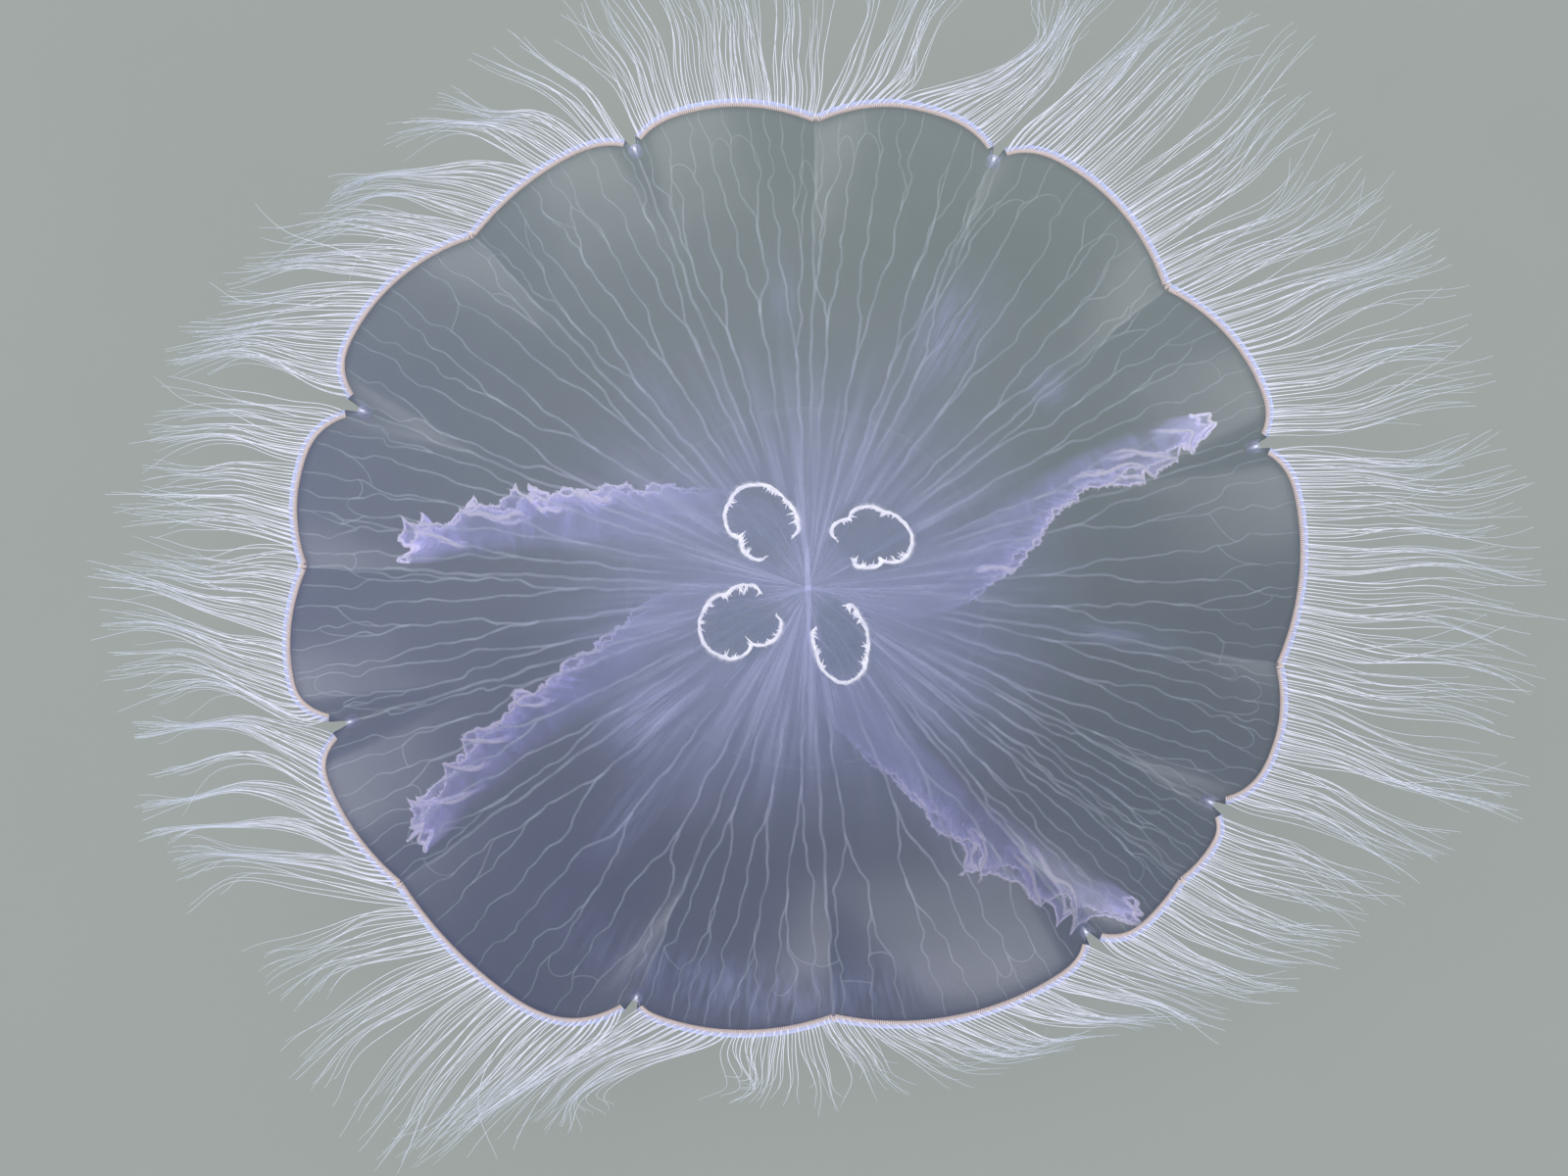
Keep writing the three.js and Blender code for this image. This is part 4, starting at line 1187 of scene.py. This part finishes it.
def mouth_surface(rng):
    """The four-sided stalk of the mouth, flared at the lips, four upright creases that run out
    from it between the gonads, wavy and thinning, and fine fibres that fan out beside them."""
    columns = 96
    bearing = np.arange(columns)[None] * 360 / columns
    t = np.linspace(0, 1, 26)[:, None]
    outline = STALK["r"] - STALK["side"] * np.cos(np.radians(4 * (bearing + 45)))
    low, top = (corner.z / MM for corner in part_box("mouth_stalk"))
    flare = (
        1 + 0.22 * (1 - smooth(t / 0.28)) - 0.18 * smooth((t - 0.3) / 0.5)
        + 0.1 * smooth((t - 0.85) / 0.15)
    )
    ruffle = 1 + 0.06 * (1 - smooth(t / 0.3)) * np.sin(np.radians(bearing * 20))
    near_end = np.minimum(1, np.minimum(t, 1 - t) / 0.05 + 0.25)
    rounding = np.sqrt(np.clip(1 - (1 - near_end) ** 2, 0, 1))
    r = outline * flare * ruffle * rounding
    walls = polar(r, np.broadcast_to(bearing, r.shape), mix(low, top, t))
    lips = veil_marks(r.shape, 0.1, 0.3, 0.05 * smooth(1 - t / 0.2))
    parts = [closed_rows(walls, (0, 0, low), (0, 0, top), lips)]
    s, v = np.meshgrid(np.linspace(0, 1, 60), np.linspace(0, 1, 12), indexing="ij")
    for heading, length, swing, milk in CREASES:
        away = length * s - 0.5
        wander = swing * s * s + 7 * np.sin(2 * np.pi * (1.3 * s + heading / 90)) * s * (1 - s)
        turn = heading + wander + np.degrees(0.5 * v * np.sin(2 * np.pi * 4 * s) / (away + 5))
        floor = lower_z(away, turn)
        z = mix(floor + 1.2 - 0.7 * s, floor - mix(7.0, 1.0, smooth(s)), v)
        middle = polar(away, turn, z)
        half = mix(0.8, 0.25, s) * mix(1.0, 0.5, v)
        fading = milk * (1 - smooth(v / 0.6)) * (1 - smooth((s - 0.4) / 0.6))
        parts.append(shell(middle, half, veil_marks(s.shape, 0.15, 0.3, fading)))
    fibres = 16  # beside each crease
    heading = np.repeat([heading for heading, *_ in CREASES], fibres)[:, None]
    each = heading.shape
    heading = heading + rng.normal(0, 17, each)
    run = np.linspace(0, 1, 16)[None]
    away = 1.5 + (rng.uniform(0, 9, each) + rng.uniform(8, 20, each) * run)
    turn = heading + rng.normal(0, 9, each) * run ** 1.5 + 2.0 * np.sin(7 * run + heading)
    paths = polar(away, turn, lower_z(away, turn) + 0.9)
    radii = rng.uniform(0.07, 0.16, each) * (0.4 + 0.6 * np.sin(np.pi * run))
    faint = rng.uniform(0.05, 0.2, each) * np.sin(np.pi * run)
    parts.append(tubes(paths, radii, 5, marks=veil_marks(radii.shape, 0.15, 0.3, faint)))
    return joined([part.placed((n / 6, 0), (n / 6 + 0.16, 1)) for n, part in enumerate(parts)])


# ---- Oral arms ----
def arm_line(arm, rows):
    """The line of an arm: it steps along a heading that eases from the start to the swept
    bearing and on to the tip's, and sinks by drop·(0.4t + 0.6t²)."""
    t = np.linspace(0, 1, rows)
    run = arm.length * t
    heading = (
        arm.start
        + (arm.swept - arm.start) * smooth(run / arm.swept_by)
        + (arm.end - arm.swept) * smooth((run - arm.swept_by) / (arm.length - arm.swept_by))
    )
    step = polar(arm.length / (rows - 1), heading, 0.0)
    gone = np.concatenate([np.zeros((1, 3)), np.cumsum(step[:-1], axis=0)])
    at = polar(ARM["from"], arm.start, 0.0) + gone
    at[:, 2] = ARM["root_z"] - ARM["drop"] * (0.4 * t + 0.6 * t * t)
    return t, at, unit(step)


def ridges(arm, t, far):
    """How near a place on a leaf is to one of the arm's ridges, each of which starts inside the
    leaf and curves out to a point of its edge: exp(-d²), d in widths of the ridge, sharper on
    its outer side."""
    found = np.zeros(t.shape)
    for at, _, from_t, from_far in arm.points:
        s = np.clip((t - from_t) / (at - from_t), 0, 1.2)
        off = far - mix(from_far, 1.0, s ** 2.2)
        width = mix(0.055, 0.032, s) * np.where(off > 0, 0.7, 1.3)
        ends = smooth(s / 0.6) * (1 - smooth((t - at) / 0.012))
        found = np.maximum(found, ends * np.exp(-((off / width) ** 2)))
    return found


def veil_points(arm, rows, columns, rng):
    """The two leaves of an arm as one sheet, v going from one free edge at -1 over the midrib
    at 0 to the other at 1. A leaf is width·|v| wide at its slant, and runs out into points with
    hollows between. Its frill is a band of slanting folds; ridges and the tip stand up."""
    t, line, way = arm_line(arm, rows)
    spread = np.linspace(-1, 1, columns)
    v = np.sign(spread) * np.abs(spread) ** 0.85
    t, v = np.meshgrid(t, v, indexing="ij")
    side, far = np.sign(v), np.abs(v)
    clockwise = np.stack([way[:, 1], -way[:, 0], np.zeros(rows)], -1)
    full = np.sin(np.pi * np.clip(0.12 + 0.8 * t, 0, 1)) ** 0.7
    phase = rng.uniform(0, 2 * np.pi, 8)
    own = 1.7 * side  # the two leaves don't move together

    def wave(turns, warp, number):
        bend = warp * np.sin(2 * np.pi * 2.6 * t + phase[number] + own)
        return 2 * np.pi * (turns * t + bend) + phase[number + 1] + own * (1 + number)

    outer = smooth((t - 0.66) / 0.14)
    lobes = 0.09 * np.sin(wave(4.4, 0.1, 0)) + 0.07 * np.sin(wave(8.3, 0.2, 1))
    lobed = 1 + smooth(1.5 * t) * lobes
    ahead = t + 0.012 * (1 - side)  # one leaf's points lie a little before the other's
    stand_out = sum(
        out * (np.exp(-np.abs(ahead - at) / 0.021) - 0.32 * np.exp(-(((t - at) / 0.075) ** 2)))
        for at, out, _, _ in arm.points
    )
    narrower, waist_at, waist_over = arm.waist
    waist = 1 - narrower * np.exp(-(((t - waist_at) / waist_over) ** 2))
    wide = (ARM["leaf"] * full * waist * lobed + stand_out * far ** 2 * 1.15) * far
    slanting = wide / arm.length * 0.9
    folding = 2 * np.pi * arm.folds * (t - slanting) + 0.9 * np.sin(wave(5.0, 0.3, 2)) + own
    band = smooth((far - 0.5) / 0.3) * smooth((t - 0.14) / 0.2) * (1 - 0.85 * outer)
    fold_height = 0.26 * arm.length / arm.folds
    fine = wave(43, 0.6, 4)
    tip = smooth((t - 0.84) / 0.16)
    crumple = full * (1 + 1.6 * tip)
    lift = (
        2.2 * far ** 2 * np.sin(wave(7, 0.1, 3))
        + 1.6 * outer * far ** 2 * np.sin(wave(13, 0.3, 5))
        + fold_height * band * np.sin(folding)
        + (0.35 + 0.5 * tip) * far ** 4 * np.sin(fine)
        + 1.6 * tip * np.sin(9 * v + phase[6] + 14 * t)
    )
    ridge = ridges(arm, t, far)
    carry = (
        0.55 * fold_height * band * np.cos(folding)
        + 0.35 * far ** 4 * np.cos(fine)
        + tip * (2.4 * np.sin(5.3 * v + phase[7]) + 1.1 * np.sin(13.7 * v + phase[5]))
    )
    draw = (
        -0.5 * band * fold_height * np.sin(folding + 0.8) ** 2
        - 0.3 * far ** 4 * np.sin(fine) ** 2
    )
    slant = np.radians(ARM["open"]) * side
    aside = wide * np.cos(slant) - ARM["midrib"] * full + draw * crumple
    rise = wide * np.sin(slant) * ARM["sag"] + lift * crumple + 1.2 * ridge * full
    points = (
        line[:, None]
        + clockwise[:, None] * aside[..., None]
        + way[:, None] * (carry * crumple)[..., None]
        + UP * rise[..., None]
    )
    return points, t, far, ridge


def arm_surface(arm, sizes, rng):
    """One arm's veil, a thin closed sheet thickened along its free edges, with a fringe of fine
    fingers along both. It is milkiest along its edges and ridges, at its tip and where its folds
    stand steep."""
    rows, columns = sizes.veil_rows, sizes.veil_columns
    points, t, far, ridge = veil_points(arm, rows, columns, rng)
    end = np.maximum(smooth((far - 0.95) / 0.045), smooth((t - 0.985) / 0.012))
    normal = unit(np.cross(np.gradient(points, axis=0), np.gradient(points, axis=1)))
    steep = smooth((0.62 - np.abs(normal[..., 2])) / 0.45) * smooth((far - 0.4) / 0.3)
    grown = smooth((t - 0.12) / 0.5)
    tip = smooth((t - 0.86) / 0.1)
    glow = 0.36 * smooth((far - 0.45) / 0.55) ** 2 * smooth((t - 0.15) / 0.35)
    milk = np.maximum.reduce([
        glow, end * smooth((t - 0.1) / 0.45), 0.95 * ridge, steep * (0.5 + 0.2 * tip) * grown,
        0.28 * tip,
    ])
    half = mix(0.28, 0.13, far) + 0.16 * np.maximum(end, ridge)
    veil = shell(points, half, veil_marks(t.shape, t, far, milk))
    parts = [veil.placed((0, 0), (1, 0.85))]
    number, bare_root = 300, 0.12  # fingers along an edge, and its share that has none
    for edge, inner, low in ((0, 1, 0.86), (-1, -2, 0.93)):
        row = np.sort(rng.integers(int(rows * bare_root), rows - 1, number))
        root = points[row, edge]
        out = unit(points[row, edge] - points[row, inner])
        lean = unit(out + rng.normal(0, 0.35, (number, 3)))
        step = np.linspace(0, 1, 4)[None, :, None]
        long = rng.uniform(0.3, 1.1, (number, 1, 1))
        sag = np.array([0, 0, -0.25]) * step ** 2
        paths = root[:, None] + lean[:, None] * long * step + sag
        thin = np.broadcast_to(mix(0.12, 0.04, step[..., 0]), (number, 4))
        milky = 0.75 * milk[row, edge][:, None]
        marks = veil_marks(thin.shape, t[row, 0][:, None], 1.0, milky)
        fringe = tubes(paths, thin, 4, marks=marks)
        parts.append(fringe.placed((0, low), (1, low + 0.06)))
    return joined(parts)


# ---- The stand ----
def turned(profile, columns):
    """A turned solid: its profile, reach and height from the axis down and back to it, carried
    round the upright axis."""
    bearing = np.arange(columns)[None] * 360 / columns
    rim = np.array(profile[1:-1])[:, None]
    points = polar(rim[..., 0] + 0 * bearing, bearing + 0 * rim[..., 0], rim[..., 1] + 0 * bearing)
    return closed_rows(points, (0, 0, profile[0][1]), (0, 0, profile[-1][1]))


def rounded_profile(node, corner):
    """The profile of a turned post or disc of a node's own size, its corners rounded by a
    quarter circle."""
    low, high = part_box(node)
    r, bottom, top = high.x / MM, low.z / MM, high.z / MM
    turn = np.radians(np.linspace(0, 90, 7))
    flat, first, last = r - corner, bottom + corner, top - corner
    lower = [(flat + corner * math.sin(a), first - corner * math.cos(a)) for a in turn]
    upper = [(flat + corner * math.cos(a), last + corner * math.sin(a)) for a in turn]
    return [(0, bottom), (r * 0.5, bottom), *lower, *upper, (r * 0.5, top), (0, top)]


# ---- Settings ----
def length(name, description, default):
    """A size in metres that a user can change."""
    return bpy.props.FloatProperty(
        name=name, description=description, default=default, min=0.0, unit="LENGTH", precision=5
    )


def count_of(name, description, default):
    """A whole number that a user can change."""
    return bpy.props.IntProperty(name=name, description=description, default=default, min=2)


def tint(name, description, *levels):
    """A colour that a user can change, given from 0 to 255."""
    return bpy.props.FloatVectorProperty(
        name=name, description=description, subtype="COLOR", size=3, min=0.0, max=1.0,
        default=shade(*levels),
    )


class JellyfishSizes(bpy.types.PropertyGroup):
    """How fine and how full the model is made."""

    tentacle_radius: length("Tentacle radius", "Half thickness of a tentacle", 0.00011)
    band_spacing: length("Band spacing", "Edge between two of the band's spindles", 0.00062)
    tentacle_spacing: length(
        "Tentacle spacing", "Edge between two neighbouring tentacles", 0.00098
    )
    tentacle_steps: count_of("Tentacle steps", "Rings along one tentacle", 26)
    lock_width: bpy.props.FloatProperty(
        name="Lock width", description="Degrees of edge whose tentacles draw together", default=3.4
    )
    skin_rows: count_of("Skin rows", "Rows of the bell's upper surface", 54)
    veil_rows: count_of("Veil rows", "Rows along one oral arm", 430)
    veil_columns: count_of("Veil columns", "Columns across one oral arm", 83)
    camera_height: length("Camera height", "Height of the camera over the bell's edge", 1.058)
    camera_aside: length("Camera offset", "How far the camera stands to the -X side", 0.0067)
    seed: bpy.props.IntProperty(name="Seed", description="Start of every random choice", default=7)


class JellyfishColours(bpy.types.PropertyGroup):
    """Colours of the finishes."""

    jelly: tint("Jelly", "Upper side of the bell", 70, 88, 98)
    # painted shade: the next two colours darken and blue the bell towards -X and -Y
    jelly_low_shade: tint("Jelly, low side", "The bell's bluer side, towards -X and -Y", 45, 54, 110)
    jelly_dim_shade: tint("Jelly, dim side", "The bell's darker side, towards -Y", 28, 38, 78)
    haze: tint("Haze", "Milky tissue round the stomach", 124, 130, 176)
    milk: tint("Milk", "Streaks that fan out round the stomach", 170, 174, 210)
    pouch: tint("Pouch", "Floor of the gonads' pouches", 84, 98, 138)
    canal: tint("Canal", "Canals near the stomach", 208, 210, 238)
    canal_outer: tint("Canal, outer", "Canals near the edge", 214, 224, 234)
    band_inner: tint("Band, inner", "Inner side of the edge band", 206, 190, 186)
    band_outer: tint("Band, outer", "Outer side of the edge band", 186, 194, 232)
    thread: tint("Tentacle", "Tentacles at the root", 238, 238, 252)
    thread_tip: tint("Tentacle tip", "Tentacles at the tip", 200, 208, 224)
    gonad: tint("Gonad", "Gonads", 250, 248, 254)
    gonad_shade: tint("Gonad, mottled", "Mottle of the gonads", 222, 216, 244)
    organ: tint("Sense organ", "Bulb of a sense organ", 250, 250, 255)
    hood: tint("Hood", "Hood over a sense organ", 168, 172, 206)
    veil: tint("Veil", "Oral arms", 200, 200, 246)
    veil_edge: tint("Veil edge", "Free edges and tips of the oral arms", 236, 230, 248)
    acrylic: tint("Acrylic", "Stand", 236, 244, 246)
    acrylic_deep: tint("Acrylic, deep", "Body colour of the stand", 200, 218, 224)
    floor: tint("Floor", "Floor", 148, 154, 150)
    floor_shade: tint("Floor, mottled", "Mottle of the floor", 143, 149, 146)


def settings():
    """The sizes and the colours that are set now."""
    scene = bpy.context.scene
    return scene.jellyfish_sizes, scene.jellyfish_colours


# ---- Operators ----
class Maker:
    """What every operator here shares."""

    bl_options = {"REGISTER", "UNDO"}


class JELLYFISH_OT_bell(Maker, bpy.types.Operator):
    """Make the bell's one skin over the crown and the eight lobes"""

    bl_idname = "jellyfish.bell"
    bl_label = "Bell"

    def execute(self, context):
        sizes, colours = settings()
        nodes = ["bell_crown"] + [f"bell_lobe_{k + 1}" for k in range(LOBES)]
        surface, finish = bell_skin_surface(sizes), jelly_finish(colours)
        make_piece("bell_skin", surface, finish, nodes, BOUNCED)
        return {"FINISHED"}


class JELLYFISH_OT_canals(Maker, bpy.types.Operator):
    """Make the net of canals inside the bell"""

    bl_idname = "jellyfish.canals"
    bl_label = "Canals"

    def execute(self, context):
        sizes, colours = settings()
        surface, finish = canal_surface(np.random.default_rng(sizes.seed)), canal_finish(colours)
        make_piece("bell_canals", surface, finish, (), BOUNCED + SHADOW)
        return {"FINISHED"}


class JELLYFISH_OT_tentacles(Maker, bpy.types.Operator):
    """Make the edge band and the tentacles of each lobe"""

    bl_idname = "jellyfish.tentacles"
    bl_label = "Edge band and tentacles"

    def execute(self, context):
        sizes, colours = settings()
        make_piece("edge_band", band_surface(sizes), band_finish(colours))
        finish = thread_finish(colours)
        for k in range(LOBES):
            surface = tentacle_surface(k, sizes, np.random.default_rng(sizes.seed * 100 + k))
            nodes = [f"tentacles_{k + 1}"]
            make_piece(f"tentacle_strands_{k + 1}", surface, finish, nodes)
        return {"FINISHED"}


class JELLYFISH_OT_sense_organs(Maker, bpy.types.Operator):
    """Make the eight sense organs with their hoods"""

    bl_idname = "jellyfish.sense_organs"
    bl_label = "Sense organs"

    def execute(self, context):
        finish = organ_finish(settings()[1])
        for k in range(LOBES):
            nodes = [f"sense_organ_{k + 1}"]
            surface = sense_organ_surface(k)
            make_piece(f"hooded_organ_{k + 1}", surface, finish, nodes)
        return {"FINISHED"}


class JELLYFISH_OT_gonads(Maker, bpy.types.Operator):
    """Make the four gonads with their filaments"""

    bl_idname = "jellyfish.gonads"
    bl_label = "Gonads"

    def execute(self, context):
        sizes, colours = settings()
        finish = gonad_finish(colours)
        for number, gonad in enumerate(GONADS, 1):
            surface = gonad_surface(gonad, np.random.default_rng(sizes.seed * 10 + number))
            make_piece(f"gonad_loop_{number}", surface, finish, [f"gonad_{number}"])
        return {"FINISHED"}


class JELLYFISH_OT_mouth(Maker, bpy.types.Operator):
    """Make the mouth's stalk and the creases that run out from it"""

    bl_idname = "jellyfish.mouth"
    bl_label = "Mouth"

    def execute(self, context):
        sizes, colours = settings()
        surface, finish = mouth_surface(np.random.default_rng(sizes.seed)), veil_finish(colours)
        make_piece("mouth_folds", surface, finish, ["mouth_stalk"], SHADOW)
        return {"FINISHED"}


class JELLYFISH_OT_arms(Maker, bpy.types.Operator):
    """Make the four frilled oral arms"""

    bl_idname = "jellyfish.arms"
    bl_label = "Oral arms"

    def execute(self, context):
        sizes, colours = settings()
        finish = veil_finish(colours)
        for number, (name, arm) in enumerate(ARMS.items()):
            surface = arm_surface(arm, sizes, np.random.default_rng(sizes.seed * 1000 + number))
            nodes = [f"oral_arm_{name}_{part}" for part in ("root", "middle", "tip")]
            make_piece(f"oral_arm_veil_{name}", surface, finish, nodes, SHADOW)
        return {"FINISHED"}


class JELLYFISH_OT_stand(Maker, bpy.types.Operator):
    """Make the clear stand's base, collar and rod"""

    bl_idname = "jellyfish.stand"
    bl_label = "Stand"

    def execute(self, context):
        colours = settings()[1]
        flat = acrylic_finish(colours, "clear acrylic", 0.18)
        upright = acrylic_finish(colours, "clear acrylic rod", 0.7)
        for node, corner, columns, finish in (
            ("stand_base", 1.5, 160, flat),
            ("stand_collar", 0.8, 64, upright),
            ("stand_rod", 0.4, 48, upright),
        ):
            surface = turned(rounded_profile(node, corner), columns)
            make_piece(f"{node}_clear", surface, finish, [node])
        return {"FINISHED"}


class JELLYFISH_OT_stage(Maker, bpy.types.Operator):
    """Make the pale floor, the soft light from the sides and above, and the camera"""

    bl_idname = "jellyfish.stage"
    bl_label = "Stage"

    def execute(self, context):
        sizes, colours = settings()
        scene = bpy.context.scene
        mesh = bpy.data.meshes.new("floor")
        ends = ((-1, -1), (1, -1), (1, 1), (-1, 1))
        corners = [(FLOOR_HALF * x, FLOOR_HALF * y, 0) for x, y in ends]
        mesh.from_pydata(corners, [], [(0, 1, 2, 3)])
        mesh.materials.append(floor_finish(colours))
        floor = bpy.data.objects.new("floor", mesh)
        scene.collection.objects.link(floor)
        for name, light in LIGHTS.items():
            soft_light(name, *light)
        world = bpy.data.worlds.new("studio")
        world.use_nodes = True
        for socket, value in SURROUNDINGS.items():
            world.node_tree.nodes["Background"].inputs[socket].default_value = value
        scene.world = world
        camera = bpy.data.cameras.new("camera")
        camera.lens, camera.sensor_width = LENS, SENSOR
        camera.clip_start, camera.clip_end = CLIP
        holder = bpy.data.objects.new("camera", camera)
        holder.location = (-sizes.camera_aside, 0, EDGE_Z * MM + sizes.camera_height)
        scene.collection.objects.link(holder)
        scene.camera = holder
        scene.view_settings.view_transform = "Standard"
        scene.cycles.transparent_max_bounces = 32
        return {"FINISHED"}


def soft_light(name, away, bearing, height, size, power):
    """A square soft light at a distance, bearing and height, turned to the model."""
    lamp = bpy.data.lights.new(name, "AREA")
    lamp.size, lamp.energy = size, power
    holder = bpy.data.objects.new(name, lamp)
    holder.location = tuple(polar(away, bearing, height))
    aim = Vector((0, 0, EDGE_Z * MM)) - holder.location
    holder.rotation_euler = aim.to_track_quat("-Z", "Y").to_euler()
    bpy.context.scene.collection.objects.link(holder)


MAKERS = (
    JELLYFISH_OT_stage, JELLYFISH_OT_bell, JELLYFISH_OT_canals, JELLYFISH_OT_tentacles,
    JELLYFISH_OT_sense_organs, JELLYFISH_OT_gonads, JELLYFISH_OT_mouth, JELLYFISH_OT_arms,
    JELLYFISH_OT_stand,
)


class JELLYFISH_PT_model(bpy.types.Panel):
    """Lists the model's settings and the operators that make it"""

    bl_idname = "JELLYFISH_PT_model"
    bl_label = "Moon Jellyfish"
    bl_space_type = "VIEW_3D"
    bl_region_type = "UI"
    bl_category = "Jellyfish"

    def draw(self, context):
        for group in settings():
            column = self.layout.column(align=True)
            for name in group.__annotations__:
                column.prop(group, name)
        for maker in MAKERS:
            self.layout.operator(maker.bl_idname)


CLASSES = (JellyfishSizes, JellyfishColours, *MAKERS, JELLYFISH_PT_model)


def register():
    for made in CLASSES:
        bpy.utils.register_class(made)
    bpy.types.Scene.jellyfish_sizes = bpy.props.PointerProperty(type=JellyfishSizes)
    bpy.types.Scene.jellyfish_colours = bpy.props.PointerProperty(type=JellyfishColours)


def unregister():
    del bpy.types.Scene.jellyfish_colours
    del bpy.types.Scene.jellyfish_sizes
    for made in reversed(CLASSES):
        bpy.utils.unregister_class(made)


def main():
    register()
    for maker in MAKERS:
        getattr(bpy.ops.jellyfish, maker.bl_idname.split(".")[1])()


if __name__ == "__main__":
    main()
